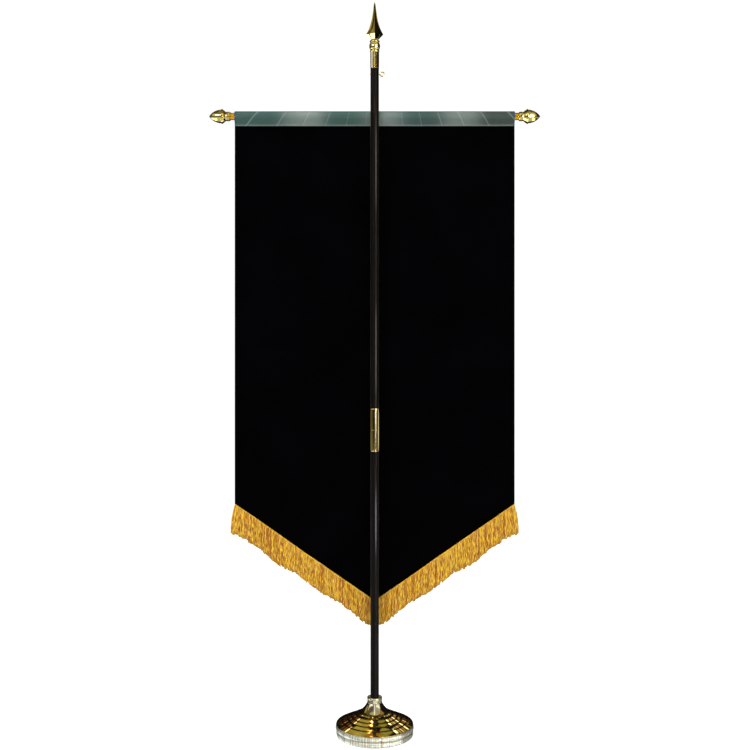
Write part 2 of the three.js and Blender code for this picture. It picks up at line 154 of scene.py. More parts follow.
# Lights of the studio, in metres and watts
SOFTBOXES = (
    {"name": "left softbox", "at": (-2.3, -2.2, 2.6), "aim": (0, 0, 1.15), "size": (1.4, 2.0), "power": 34},
    {"name": "right softbox", "at": (2.4, -2.2, 1.8), "aim": (0, 0, 1.15), "size": (1.2, 2.0), "power": 20},
    {"name": "overhead softbox", "at": (-0.4, -0.6, 4.3), "aim": (0, 0, 0), "size": (1.6, 1.6), "power": 60},
)
# What the polished pieces mirror, from straight below to straight above: a pale floor and a dim room
ROOM_TONES = (
    (0.0, (0.74, 0.73, 0.7)),
    (0.34, (0.86, 0.85, 0.82)),
    (0.405, (0.6, 0.59, 0.56)),
    (0.432, (0.03, 0.027, 0.022)),
    (0.5, (0.012, 0.011, 0.009)),
    (1.0, (0.01, 0.009, 0.007)),
)
# No direction in that room is darker than this
DARKEST_TONE = (0.004, 0.0035, 0.003)
# Lit panels of that room, and dark cards whose strength is below zero. Angles, half sizes and the soft edge
# are in degrees, and the azimuth runs from the front to the right.
PANEL_COLUMNS = ("azimuth", "elevation", "wide", "tall", "soft", "strength", "tint")
PANELS = (
    (34, 19, 14, 7, 2, 5, "#f4f6ff"),
    (-36, 20, 17, 8, 2, 7, "#f4f6ff"),
    (50, 27, 26, 15.5, 3, 1.0, "#fff4dc"),
    (-52, 24, 28, 12, 3, 1.2, "#fff4dc"),
    (38, 46, 32, 14, 5, 0.5, "#fff0d4"),
    (90, 53, 26, 10, 3, 0.42, "#ffd090"),
    (-64, 44, 50, 17, 6, 0.14, "#ffe4b0"),
    (-3, 51, 9, 34, 4, 1.0, "#ffffff"),
    (0, 74, 80, 13, 6, 0.6, "#fffefa"),
    (50, 0.5, 26, 5.2, 1, 0.5, "#ffecc8"),
    (-50, 0.5, 26, 5.2, 1, 0.3, "#ffecc8"),
    (60, -37, 14, 6, 3, 2.9, "#f4f6ff"),
    (92, -51, 27, 7, 3, 2.9, "#f4f6ff"),
    (-60, -37, 14, 6, 3, 2.9, "#f4f6ff"),
    (-92, -51, 27, 7, 3, 2.9, "#f4f6ff"),
    (-100, -33, 18, 8, 2, 6, "#f4f6ff"),
    (104, -33, 18, 8, 2, -0.86, "#ffffff"),
    (180, -34, 52, 34, 6, -0.86, "#ffffff"),
    (-82, 9.4, 35, 1.4, 0.5, 2.2, "#b4beff"),
    (-12, 9.4, 8, 1.4, 0.5, 1.6, "#fff6e0"),
    (20, 9.4, 14, 1.4, 0.5, 0.3, "#ffe2a0"),
    (-112, 30, 9, 13, 3, 0.34, "#fff2a8"),
    (-85, 30, 5, 13, 2, 0.5, "#fff2b0"),
    (81, 27, 3, 11, 1, 0.45, "#ffe2a0"),
    (20, -7.4, 8, 1, 0.4, 0.3, "#fffbe8"),
    (29, -6.8, 17, 0.6, 0.6, 4.2, "#8995ff"),
    (-84, -7.4, 28, 1, 0.4, 0.12, "#ffeeb0"),
    (-142, -7.4, 24, 1, 0.4, 0.8, "#fff6e4"),
    (132, -7.4, 29, 1, 0.4, 1.3, "#f8f6ff"),
    (55, -7.4, 14, 1, 0.4, 0.2, "#ffe2b4"),
    (33, -17.7, 16, 0.9, 0.5, 1.4, "#fff8ee"),
    (36, 5, 19, 1.7, 1.1, 17, "#fff4e6"),
    (36, -3.8, 19, 1.9, 0.6, 17, "#fff4e6"),
    (33, -11.5, 17, 1.1, 0.6, 40, "#f0f4ff"),
    (-5, -9.4, 6, 0.5, 0.4, 6, "#ffb070"),
    (-7, 7.6, 6, 0.25, 0.15, 34, "#ffb868"),
    (180, 20, 6, 4, 1.5, 0.22, "#fff0e0"),
    (-82, -19.4, 60, 1.4, 0.6, -0.72, "#ffffff"),
    (88, -19.4, 62, 1.4, 0.6, -0.5, "#ffffff"),
    (-3, -19.4, 15, 1.4, 0.6, 0.3, "#f4f8ff"),
    (-158, 56, 12, 10, 1, 0.56, "#ffee9c"),
    (160, 61, 9, 6, 1, 0.42, "#fbf2a8"),
    (151, 51.5, 3, 1.3, 0.6, 6, "#fffaf0"),
    (152, 47, 5, 1.2, 0.6, 0.7, "#ffe0a0"),
    (152, 43, 5, 0.8, 0.5, 1.8, "#ffe6dc"),
    (153, 39, 5, 1.4, 0.6, 0.5, "#ffd27c"),
    (156, 33.5, 4, 1, 0.6, 4, "#fff4ec"),
    (160, 26, 6, 1.5, 1, 0.4, "#ffc070"),
    (163, 21.5, 3, 0.8, 0.5, 2.2, "#ffd8b8"),
    (166, 16, 4, 0.8, 0.5, 0.5, "#d89858"),
    (169, 10, 4, 0.7, 0.5, 0.3, "#b87840"),
    (-151, 43, 3, 1, 0.6, 4.5, "#ffe8dc"),
    (-153, 38, 5, 0.9, 0.5, 0.7, "#e8a080"),
    (-155, 33, 5, 0.8, 0.5, 0.35, "#d89060"),
    (-161, 25, 3, 0.6, 0.4, 1.2, "#f0a890"),
    (-164, 18.5, 4, 0.7, 0.5, 0.3, "#c07850"),
    (-168, 11, 4, 0.7, 0.5, 0.25, "#a86838"),
    (-170, 66.5, 6, 5, 1.5, 1.6, "#ffb060"),
    (-170, 66.5, 3, 3.2, 0.8, 6, "#fff2e0"),
)


def linear(code):
    """An sRGB hex value as the linear colour that shaders use."""
    channels = [int(code[i : i + 2], 16) / 255 for i in (1, 3, 5)]
    return tuple(c / 12.92 if c <= 0.04045 else ((c + 0.055) / 1.055) ** 2.4 for c in channels)


def scaled(colour, share):
    return [share * c for c in colour]


def opaque(colour):
    return (*colour, 1.0)


LengthProperty = partial(FloatProperty, unit="LENGTH")
ColourProperty = partial(FloatVectorProperty, subtype="COLOR")


class BannerSizes(bpy.types.PropertyGroup):
    """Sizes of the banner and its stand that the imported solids' boxes don't give."""

    cloth_corner: LengthProperty(
        name="Cloth corner", description="Height of the cloth's lower side corners", default=0.7421
    )
    cloth_thick: LengthProperty(
        name="Cloth thickness", description="Thickness of the black cloth", default=1.5 * MM
    )
    sleeve_wall: LengthProperty(
        name="Sleeve thickness", description="Thickness of the heading satin", default=1.5 * MM
    )
    sleeve_tuck: LengthProperty(
        name="Seam depth", description="How far the sleeve laps over the cloth", default=9 * MM
    )
    strands: IntProperty(
        name="Strands",
        description="Bullion strands along one lower edge, in the front row",
        default=150,
        min=10,
    )
    strand_radius: LengthProperty(
        name="Strand radius", description="Mean radius of one twisted strand", default=1.55 * MM
    )
    strand_length: LengthProperty(
        name="Fringe depth", description="Mean drop from the cloth's edge", default=95 * MM
    )
    twist_pitch: LengthProperty(
        name="Twist pitch", description="Length of one full turn of a strand", default=9 * MM
    )
    fringe_heading: LengthProperty(
        name="Fringe heading", description="Width of the tape that holds the strands", default=6 * MM
    )
    reeds: IntProperty(name="Reeds", description="Reeds around each band of the base", default=138, min=12)
    reed_depth: LengthProperty(
        name="Reed depth", description="Depth of the groove between reeds", default=1.3 * MM
    )


class BannerColours(bpy.types.PropertyGroup):
    """Colours of the banner's finishes."""

    cloth: ColourProperty(name="Cloth", description="Black banner cloth", default=linear("#020203"))
    satin: ColourProperty(name="Satin", description="Grey-green heading satin", default=linear("#2f4a44"))
    # Painted highlight colour of the satin's sheen zones; the paler hem uses it too
    satin_light: ColourProperty(
        name="Satin sheen", description="Satin where it catches the light", default=linear("#75807a")
    )
    # Painted shade colour of the satin's right side
    satin_shade: ColourProperty(
        name="Satin shade", description="Satin on the side away from the light", default=linear("#303c36")
    )
    satin_line: ColourProperty(
        name="Satin lines", description="Thin pale lines in the satin", default=linear("#b4c0bb")
    )
    satin_end: ColourProperty(
        name="Satin ends", description="Blue edging of the sleeve's ends", default=linear("#1f3b58")
    )
    bullion: ColourProperty(name="Bullion", description="Gold rayon strands", default=linear("#d0980c"))
    bullion_dark: ColourProperty(
        name="Bullion shade", description="Darkest strands", default=linear("#964c04")
    )
    bullion_bright: ColourProperty(
        name="Bullion light", description="Brightest strands", default=linear("#f2ce3c")
    )
    wood: ColourProperty(name="Wood", description="Dark stained pole", default=linear("#050403"))
    wood_grain: ColourProperty(
        name="Wood grain", description="Lighter grain of the pole", default=linear("#0f0a06")
    )
    varnish: ColourProperty(
        name="Varnish", description="Tint of the pole's clear varnish", default=linear("#fffcf6")
    )
    brass: ColourProperty(name="Brass", description="Polished brass", default=linear("#d6c67e"))
    brass_dull: ColourProperty(
        name="Dulled brass", description="Brass where it has dulled", default=linear("#a8984f")
    )
    socket: ColourProperty(
        name="Socket", description="Silvery brass of the socket", default=linear("#d7d6c8")
    )
    gilt: ColourProperty(name="Gilt", description="Yellow gilt", default=linear("#f0b92e"))
    nickel: ColourProperty(
        name="Nickel", description="Silvery plate of the reeded bands", default=linear("#d6dbcf")
    )
    # Darker plate, towards which each reed's grooves and the uneven reeds are coloured
    nickel_dark: ColourProperty(
        name="Dulled nickel", description="Plate in the grooves", default=linear("#85836f")
    )
    floor: ColourProperty(name="Floor", description="Pale studio floor", default=linear("#f1f0ee"))


# Settings that several nodes share: a mix of two colours and a soft change from one value to another
COLOUR_MIX = {"data_type": "RGBA"}
SOFT = {"interpolation_type": "SMOOTHSTEP"}
# A wave texture at a scale of 1 has bands of this length
WAVE_BAND = math.tau / 20


def scale_for(*sizes):
    """Pattern scales along the axes, for marks of these sizes in millimetres."""
    return tuple(1 / (size * MM) for size in sizes)


def add_node(tree, kind, inputs=(), ramp=(), **settings):
    """Adds a node, sets its properties and its ramp's stops, and sets or links its inputs.

    Inputs go by name or number, or in their order: a map range has its value, the range it comes from
    and the range it goes to. A node given as an input is linked by its first output.
    """
    node = tree.nodes.new("ShaderNode" + kind)
    for key, value in settings.items():
        setattr(node, key, value)
    if ramp:
        stops = node.color_ramp.elements
        while len(stops) < len(ramp):
            stops.new(1.0)
        for stop, (place, colour) in zip(stops, ramp):
            stop.position = place
            stop.color = opaque(colour)
    for key, value in inputs.items() if isinstance(inputs, dict) else enumerate(inputs):
        if isinstance(value, bpy.types.Node):
            value = value.outputs[0]
        if isinstance(value, bpy.types.NodeSocket):
            tree.links.new(value, node.inputs[key])
        else:
            node.inputs[key].default_value = value
    return node


def start_material(name, settings):
    """A new material: its node tree, its shader with the values that are the same all over, and the place
    on the object by which patterns are laid."""
    made = bpy.data.materials.new(name)
    made.use_nodes = True
    tree = made.node_tree
    tree.nodes.clear()
    shader = add_node(tree, "BsdfPrincipled", settings)
    add_node(tree, "OutputMaterial", {"Surface": shader})
    place = add_node(tree, "TexCoord").outputs["Object"]
    return made, tree, shader, place


def black_polyester(colours):
    """Close-woven black polyester: no shine, a faint rib of threads and barely lighter where it is worn."""
    made, tree, shader, place = start_material(
        "black woven polyester", {"Roughness": 0.92, "Specular IOR Level": 0.01}
    )
    axes = add_node(tree, "SeparateXYZ", [place]).outputs
    # Threads are 0.4 mm apart; they are drawn at 2.4 mm so that the weave shows in the render
    turn = math.tau / (2.4 * MM)
    across = add_node(tree, "Math", (axes["X"], turn), operation="MULTIPLY")
    along = add_node(tree, "Math", (axes["Z"], turn), operation="MULTIPLY")
    warp = add_node(tree, "Math", [across], operation="SINE")
    weft = add_node(tree, "Math", [along], operation="SINE")
    weave = add_node(tree, "Math", (warp, weft), operation="MULTIPLY")
    bump = add_node(tree, "Bump", {"Strength": 0.25, "Distance": 0.3 * MM, "Height": weave})
    # Wear in patches of about 143 mm
    wear = add_node(tree, "TexNoise", {"Vector": place, "Scale": 1 / (142.86 * MM), "Detail": 4.0})
    tones = [(0.3, scaled(colours.cloth, 0.6)), (0.75, scaled(colours.cloth, 1.3))]
    tone = add_node(tree, "ValToRGB", [wear], ramp=tones)
    tree.links.new(tone.outputs["Color"], shader.inputs["Base Color"])
    tree.links.new(bump.outputs["Normal"], shader.inputs["Normal"])
    return made


def grey_green_satin(colours):
    """Polyester satin: a painted sheen in broad pale zones, painted shade on the right side and at the top
    fold, thin pale woven lines that fan out, fine ribs.
    """
    made, tree, shader, place = start_material(
        "grey-green satin", {"Specular IOR Level": 0.3, "Sheen Weight": 0.03, "Sheen Roughness": 0.4}
    )
    axes = add_node(tree, "SeparateXYZ", [place]).outputs
    aside = add_node(tree, "Math", [axes["X"]], operation="ABSOLUTE")
    # The sheen is uneven over about 200 mm
    cloudy = add_node(tree, "TexNoise", {"Vector": place, "Scale": 1 / (200 * MM), "Detail": 3.0})
    # Painted highlight: three broad zones of the paler sheen colour, 260 mm apart, uneven in strength and
    # fainter to the right
    zone_turn = math.tau / (259.5 * MM)
    turns = add_node(tree, "Math", (axes["X"], zone_turn, 234 * MM * zone_turn), operation="MULTIPLY_ADD")
    wave = add_node(tree, "Math", [turns], operation="COSINE")
    zone = add_node(tree, "MapRange", (wave, -1.0, 1.4, 0.0, 1.75), **SOFT)
    inside = add_node(tree, "MapRange", (aside, 330 * MM, 400 * MM, 1.0, 0.0), **SOFT)
    lit = add_node(tree, "Math", (zone, inside), operation="MULTIPLY")
    strong = add_node(tree, "MapRange", (axes["X"], -150 * MM, 90 * MM, 1.0, 0.72), **SOFT)
    uneven_light = add_node(tree, "Math", (cloudy, strong), operation="MULTIPLY")
    sheen = add_node(tree, "Math", (lit, uneven_light), operation="MULTIPLY")
    # Painted shade darkens the right side and the top fold, the hem is paler and the ends are edged blue
    top, hem, end = SLEEVE_HIGH.z, SLEEVE_LOW.z, SLEEVE_HIGH.x
    shaded = add_node(tree, "MapRange", (axes["X"], 40 * MM, 380 * MM, 0.0, 1.0), **SOFT)
    # Painted shade along the top fold, darkest near the top edge
    fold_shade = add_node(tree, "MapRange", (axes["Z"], top - 5 * MM, top - 1 * MM, 0.0, 0.8), **SOFT)
    hemmed = add_node(tree, "MapRange", (axes["Z"], hem + 2.5 * MM, hem + 5.5 * MM, 0.4, 0.0), **SOFT)
    edged = add_node(tree, "MapRange", (aside, end - 5.5 * MM, end - 3.5 * MM, 0.0, 0.9), **SOFT)
    # Thin lines fan out 7 degrees apart from a point above the heading and are fainter near the middle
    centre, step, first = 36.3 * MM, math.radians(6.98), math.radians(-0.67)
    vertex = (SLEEVE_LOW.z + SLEEVE_HIGH.z) / 2 + 475 * MM
    half_line = 0.0042
    across = add_node(tree, "Math", (axes["X"], centre), operation="SUBTRACT")
    below = add_node(tree, "Math", (vertex, axes["Z"]), operation="SUBTRACT")
    angle = add_node(tree, "Math", (across, below), operation="ARCTAN2")
    counted = add_node(tree, "Math", (angle, first), operation="SUBTRACT")
    steps = add_node(tree, "Math", (counted, step / 2), operation="PINGPONG")
    thin = add_node(tree, "MapRange", (steps, 0.0, half_line, 1.0, 0.0), **SOFT)
    outer = add_node(tree, "MapRange", (aside, 60 * MM, 330 * MM, 0.22, 0.5), **SOFT)
    faded = add_node(tree, "Math", (thin, outer), operation="MULTIPLY")
    uneven = add_node(tree, "Math", (cloudy, 0.8, 0.15), operation="MULTIPLY_ADD")
    line = add_node(tree, "Math", (faded, uneven), operation="MULTIPLY")
    shown = opaque(colours.satin)
    for share, colour in (
        (shaded, colours.satin_shade),
        (sheen, colours.satin_light),
        (fold_shade, scaled(colours.satin, 0.3)),
        (hemmed, colours.satin_light),
        (edged, colours.satin_end),
        (line, colours.satin_line),
    ):
        shown = add_node(tree, "Mix", {0: share, 6: shown, 7: opaque(colour)}, **COLOUR_MIX).outputs[2]
    # Ribs are 0.3 mm apart; they are drawn at 1.6 mm so that they show
    wave = {"Vector": place, "Scale": WAVE_BAND / (1.6 * MM), "Distortion": 0.6}
    ribs = add_node(tree, "TexWave", wave, bands_direction="Z").outputs["Fac"]
    bump = add_node(tree, "Bump", {"Strength": 0.15, "Distance": 0.2 * MM, "Height": ribs})
    rough = add_node(tree, "MapRange", (cloudy, 0.0, 1.0, 0.42, 0.6))
    tree.links.new(shown, shader.inputs["Base Color"])
    tree.links.new(rough.outputs["Result"], shader.inputs["Roughness"])
    tree.links.new(bump.outputs["Normal"], shader.inputs["Normal"])
    return made


def rayon_bullion(colours):
    """Twisted rayon cord: silky gold, each strand its own tone, streaked, with painted shade at the looped
    ends.
    """
    made, tree, shader, place = start_material(
        "gold rayon bullion", {"Roughness": 0.5, "Specular IOR Level": 0.2}
    )
    tone = add_node(tree, "Attribute", attribute_name="tone").outputs["Fac"]
    drop = add_node(tree, "Attribute", attribute_name="drop").outputs["Fac"]
    # Streaks 1.7 mm wide and 17 mm long run down the strands, stronger below the tape
    stretch = add_node(tree, "VectorMath", (place, scale_for(1.6667, 1.6667, 16.667)), operation="MULTIPLY")
    streak = add_node(tree, "TexNoise", {"Vector": stretch, "Scale": 1.0, "Detail": 3.0})
    lively = add_node(tree, "MapRange", (drop, 0.0, 0.4, 1.6, 3.8), **SOFT)
    centred = add_node(tree, "Math", (streak, 0.5), operation="SUBTRACT")
    mixed = add_node(tree, "Math", (centred, lively, tone), operation="MULTIPLY_ADD")
    shade = add_node(tree, "MapRange", (mixed, -0.22, 0.56))
    golds = [(0.05, colours.bullion_dark), (0.5, colours.bullion), (0.95, colours.bullion_bright)]
    thread = add_node(tree, "ValToRGB", [shade], ramp=golds)
    # Dulled streaks 2 mm wide and 22 mm long
    stretch = add_node(tree, "VectorMath", (place, scale_for(2.0833, 2.0833, 21.739)), operation="MULTIPLY")
    dulled = add_node(tree, "TexNoise", {"Vector": stretch, "Scale": 1.0, "Detail": 2.0})
    strong = add_node(tree, "MapRange", (dulled, 0.34, 0.7, 1.02, 0.9))
    lit = add_node(tree, "MapRange", (dulled, 0.34, 0.7, 1.07, 0.86))
    fibres = add_node(tree, "HueSaturation", {"Color": thread, "Saturation": strong, "Value": lit})
    # Painted shade: each strand's looped end is darkened over the last part of its drop
    tip = add_node(tree, "MapRange", (drop, 0.86, 1.0, 0.0, 0.8), **SOFT)
    tip_shade_colour = opaque(scaled(colours.bullion, 0.62))
    ended = add_node(tree, "Mix", {0: tip, 6: fibres, 7: tip_shade_colour}, **COLOUR_MIX)
    # Filaments of 0.1 mm, drawn at 0.5 mm
    fine = add_node(tree, "TexNoise", {"Vector": place, "Scale": 1 / (0.5 * MM)})
    bump = add_node(tree, "Bump", {"Strength": 0.2, "Distance": 0.15 * MM, "Height": fine})
    tree.links.new(ended.outputs[2], shader.inputs["Base Color"])
    tree.links.new(bump.outputs["Normal"], shader.inputs["Normal"])
    return made


def rayon_tape(colours):
    """Woven rayon tape at the head of the fringe: bright gold, with fine ribs across it."""
    made, tree, shader, place = start_material(
        "gold rayon tape", {"Roughness": 0.45, "Specular IOR Level": 0.3, "Sheen Weight": 0.04}
    )
    # Wear and shade in patches of about 4 mm
    patches = add_node(tree, "TexNoise", {"Vector": place, "Scale": 1 / (4 * MM), "Detail": 2.0})
    golds = [(0.3, colours.bullion_dark), (0.48, colours.bullion), (0.7, colours.bullion_bright)]
    shade = add_node(tree, "ValToRGB", [patches], ramp=golds)
    # Ribs are 1.5 mm apart
    wave = {"Vector": place, "Scale": WAVE_BAND / (1.5 * MM), "Distortion": 0.8}
    ribs = add_node(tree, "TexWave", wave, bands_direction="X").outputs["Fac"]
    bump = add_node(tree, "Bump", {"Strength": 0.3, "Distance": 0.2 * MM, "Height": ribs})
    tree.links.new(shade.outputs["Color"], shader.inputs["Base Color"])
    tree.links.new(bump.outputs["Normal"], shader.inputs["Normal"])
    return made


def sewing_thread(name, colour):
    """Spun polyester thread: matt, a little uneven in tone."""
    made, tree, shader, place = start_material(name, {"Roughness": 0.7, "Specular IOR Level": 0.25})
    # The twist of spun thread shows every 0.8 mm
    spun = add_node(tree, "TexNoise", {"Vector": place, "Scale": 1 / (0.8 * MM)})
    shade = add_node(tree, "ValToRGB", [spun], ramp=[(0.2, scaled(colour, 0.7)), (0.8, colour)])
    tree.links.new(shade.outputs["Color"], shader.inputs["Base Color"])
    return made


def varnished_beech(colours):
    """Beech stained near black under gloss varnish: brown grain under a clear coat with a faint wax bloom."""
    made, tree, shader, place = start_material(
        "ebonised beech under varnish",
        {
            "Specular IOR Level": 0.05,
            "Coat Weight": 0.2,
            "Coat Roughness": 0.05,
            "Coat IOR": 1.33,
            "Coat Tint": opaque(colours.varnish),
            "Sheen Weight": 0.07,
            "Sheen Roughness": 0.3,
        },
    )
    # Grain lines are about 2.4 mm wide and run for 110 mm
    stretch = add_node(tree, "VectorMath", (place, scale_for(2.381, 2.381, 111.11)), operation="MULTIPLY")
    grain = add_node(tree, "TexNoise", {"Vector": stretch, "Scale": 1.0, "Detail": 5.0, "Roughness": 0.6})
    shade = add_node(tree, "ValToRGB", [grain], ramp=[(0.42, colours.wood), (0.78, colours.wood_grain)])
    rough = add_node(tree, "MapRange", (grain, 0.0, 1.0, 0.3, 0.5))
    bump = add_node(tree, "Bump", {"Strength": 0.08, "Distance": 0.2 * MM, "Height": grain})
    tree.links.new(shade.outputs["Color"], shader.inputs["Base Color"])
    tree.links.new(rough.outputs["Result"], shader.inputs["Roughness"])
    tree.links.new(bump.outputs["Normal"], shader.inputs["Normal"])
    return made


def polished_metal(name, bright, darkened, roughness, line=None, pale=None):
    """Polished and lacquered metal: clear reflections, faint clouds where it has dulled, and lathe lines."""
    made, tree, shader, place = start_material(name, {"Metallic": 1.0})
    # Clouds of about 28 mm
    cloud = {"Vector": place, "Scale": 1 / (28 * MM), "Detail": 5.0, "Roughness": 0.62}
    clouds = add_node(tree, "TexNoise", cloud)
    shown = add_node(tree, "ValToRGB", [clouds], ramp=[(0.35, bright), (0.8, darkened)]).outputs["Color"]
    rough = add_node(tree, "MapRange", (clouds, 0.0, 1.0, roughness * 0.6, roughness * 1.5))
    # A near-black share laid over the metal: painted shade in the dome's step corners, an even tarnished tone
    # on the gilt groove band; then a paler share that turns brass silvery
    for track, colour in (("shade_and_tarnish", scaled(darkened, 0.06)), ("pale", pale)):
        if colour:
            share = add_node(tree, "Attribute", attribute_name=track).outputs["Fac"]
            shown = add_node(tree, "Mix", {0: share, 6: shown, 7: opaque(colour)}, **COLOUR_MIX).outputs[2]
    tree.links.new(shown, shader.inputs["Base Color"])
    tree.links.new(rough.outputs["Result"], shader.inputs["Roughness"])
    if line:
        wave = {"Vector": place, "Scale": WAVE_BAND / line, "Distortion": 1.5, "Detail": 2.0}
        lines = add_node(tree, "TexWave", wave, bands_direction="Z").outputs["Fac"]
        bump = add_node(tree, "Bump", {"Strength": 0.007, "Distance": 0.1 * MM, "Height": lines})
        tree.links.new(bump.outputs["Normal"], shader.inputs["Normal"])
    return made


def reeded_nickel(colours):
    """Nickel plate over cut reeds: silvery crowns, darker warm grooves, no two reeds quite alike."""
    made, tree, shader, place = start_material("reeded nickel plate", {"Metallic": 1.0})
    tone = add_node(tree, "Attribute", attribute_name="tone").outputs["Fac"]
    # Clouds of about 9 mm
    clouds = add_node(tree, "TexNoise", {"Vector": place, "Scale": 1 / (9 * MM), "Detail": 3.0})
    mixed = add_node(tree, "Math", (clouds, 0.7, tone), operation="MULTIPLY_ADD")
    shade = add_node(tree, "ValToRGB", [mixed], ramp=[(0.2, colours.nickel_dark), (1.0, colours.nickel)])
    rough = add_node(tree, "MapRange", (clouds, 0.0, 1.0, 0.45, 0.6))
    tree.links.new(shade.outputs["Color"], shader.inputs["Base Color"])
    tree.links.new(rough.outputs["Result"], shader.inputs["Roughness"])
    return made


def pale_floor(colours):
    """Matt white studio floor, lit a little from below as a light table is."""
    made, tree, shader, place = start_material(
        "pale studio floor",
        {
            "Roughness": 0.9,
            "Specular IOR Level": 0.1,
            "Emission Color": opaque(linear("#ffffff")),
            "Emission Strength": 0.52,
        },
    )
    # The floor is mottled over about 670 mm
    mottle = add_node(tree, "TexNoise", {"Vector": place, "Scale": 1 / (666.67 * MM), "Detail": 2.0})
    whites = [(0.0, scaled(colours.floor, 0.97)), (1.0, colours.floor)]
    shade = add_node(tree, "ValToRGB", [mottle], ramp=whites)
    tree.links.new(shade.outputs["Color"], shader.inputs["Base Color"])
    return made


def make_finishes(colours):
    """Every material of the object, by the name that the pieces use for it."""
    lathe_line = 0.9 * MM
    return {
        "cloth": black_polyester(colours),
        "satin": grey_green_satin(colours),
        "bullion": rayon_bullion(colours),
        "tape": rayon_tape(colours),
        "gold_thread": sewing_thread("old gold thread", colours.bullion_dark),
        "satin_thread": sewing_thread("grey-green thread", colours.satin_light),
        "wood": varnished_beech(colours),
        "brass": polished_metal(
            "polished brass", colours.brass, colours.brass_dull, 0.06, line=lathe_line, pale=colours.socket
        ),
        "socket": polished_metal("silvery brass", colours.socket, colours.brass, 0.1, line=lathe_line),
        "gilt": polished_metal("bright gilt", colours.gilt, scaled(colours.gilt, 0.85), 0.22),
        "nickel": reeded_nickel(colours),
    }


FINISHES = {}


def finish_named(context, name):
    """One of the finishes; all of them are made at the first call."""
    if not FINISHES:
        FINISHES.update(make_finishes(context.scene.banner_colours))
    return FINISHES[name]


def grid_quads(rows, columns, wrap=False):
    """Quads over a grid of points numbered row by row, joined round at the last column if it wraps."""
    row, column = np.meshgrid(np.arange(rows - 1), np.arange(columns if wrap else columns - 1), indexing="ij")
    after = (column + 1) % columns
    near, far = row * columns, (row + 1) * columns
    corners = (near + column, near + after, far + after, far + column)
    return np.stack(corners, axis=-1).reshape(-1, 4)


def add_piece(context, name, points, faces, finish, slot, replaces=(), sharp_deg=40.0, tracks=None):
    """A mesh object that rides on the stand, with its finish and the solids that it replaces; the slot it is
    given is not used.
    """
    mesh = bpy.data.meshes.new(name)
    places = np.asarray(points, float).reshape(-1, 3).tolist()
    mesh.from_pydata(places, [], [list(map(int, face)) for face in faces])
    mesh.update()
    mesh.shade_smooth()
    mesh.set_sharp_from_angle(angle=math.radians(sharp_deg))
    for track, values in (tracks or {}).items():
        layer = mesh.attributes.new(track, "FLOAT", "POINT")
        layer.data.foreach_set("value", np.asarray(values, np.float32).ravel())
    mesh.materials.append(finish_named(context, finish))
    piece = bpy.data.objects.new(name, mesh)
    context.scene.collection.objects.link(piece)
    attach(piece, BODY)
    if replaces:
        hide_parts(*replaces)
    return piece


def rounded(corners, steps=4):
    """An outline with each corner [radius, height, fillet] softened by a short curve."""
    # A fillet takes up less than half of an edge, and a point before and after it keeps the edge straight
    longest, lead = 0.45, 0.1
    outline = []
    for i, (radius, height, fillet) in enumerate(corners):
        here = np.array((radius, height))
        if fillet <= 0 or i in (0, len(corners) - 1):
            outline.append(here)
            continue
        before = np.array(corners[i - 1][:2]) - here
        after = np.array(corners[i + 1][:2]) - here
        reach_before = min(fillet, longest * np.linalg.norm(before))
        reach_after = min(fillet, longest * np.linalg.norm(after))
        start = here + before / np.linalg.norm(before) * reach_before
        end = here + after / np.linalg.norm(after) * reach_after
        outline.append(start + (start - here) * lead)
        for t in np.linspace(0, 1, steps + 1):
            outline.append((1 - t) ** 2 * start + 2 * t * (1 - t) * here + t**2 * end)
        outline.append(end + (end - here) * lead)
    return np.array(outline)


def stepped_rod(soft, *sections):
    """Outline of a rod in sections of [radius, foot, top], with its outer corners softened."""
    radii = [0, *(section[0] for section in sections), 0]
    corners = [(0, sections[0][1], 0)]
    for below, (radius, foot, top), above in zip(radii, sections, radii[2:]):
        corners.append((radius, foot, soft if radius > below else 0))
        corners.append((radius, top, soft if radius > above else 0))
    corners.append((0, sections[-1][2], 0))
    return rounded(corners)


def turned(outline, sides=96):
    """Points and faces of an outline of [radius, height] turned about Z, upwards, and closed at its ends."""
    outline = np.asarray(outline, float)
    angle = np.arange(sides) / sides * math.tau
    ring = np.stack([np.cos(angle), np.sin(angle)], axis=-1)
    on_axis = outline[:, 0] < 1e-9
    inner = outline[~on_axis]
    flat = inner[:, None, 0:1] * ring[None, :, :]
    level = np.broadcast_to(inner[:, None, 1:2], (len(inner), sides, 1))
    points = np.concatenate([flat, level], axis=-1).reshape(-1, 3)
    faces = grid_quads(len(inner), sides, wrap=True).tolist()
    last = (len(inner) - 1) * sides
    if on_axis[0]:
        points = np.vstack([points, (0, 0, outline[0, 1])])
        faces += [[len(points) - 1, (j + 1) % sides, j] for j in range(sides)]
    if on_axis[-1]:
        points = np.vstack([points, (0, 0, outline[-1, 1])])
        faces += [[len(points) - 1, last + j, last + (j + 1) % sides] for j in range(sides)]
    if not on_axis[0] and not on_axis[-1]:
        faces += [[last + j, last + (j + 1) % sides, (j + 1) % sides, j] for j in range(sides)]
    return points, faces


def along_bar(points, side):
    """Points that were turned about Z, laid along the crossbar towards its right or left end."""
    points = np.asarray(points)
    laid = np.stack([side * points[:, 2], points[:, 1], -side * points[:, 0]], axis=-1)
    return laid + np.array((0, BAR_Y, BAR_LEVEL))


def smooth_step(t):
    """A change from zero to one that starts and ends gently."""
    t = np.clip(t, 0, 1)
    return t * t * (3 - 2 * t)


def cloth_edge(sizes, x):
    """Height of the cloth's lower edge at a place across it."""
    slope = (sizes.cloth_corner - CLOTH_LOW.z) / HALF_WIDTH
    return CLOTH_LOW.z + slope * np.abs(x)


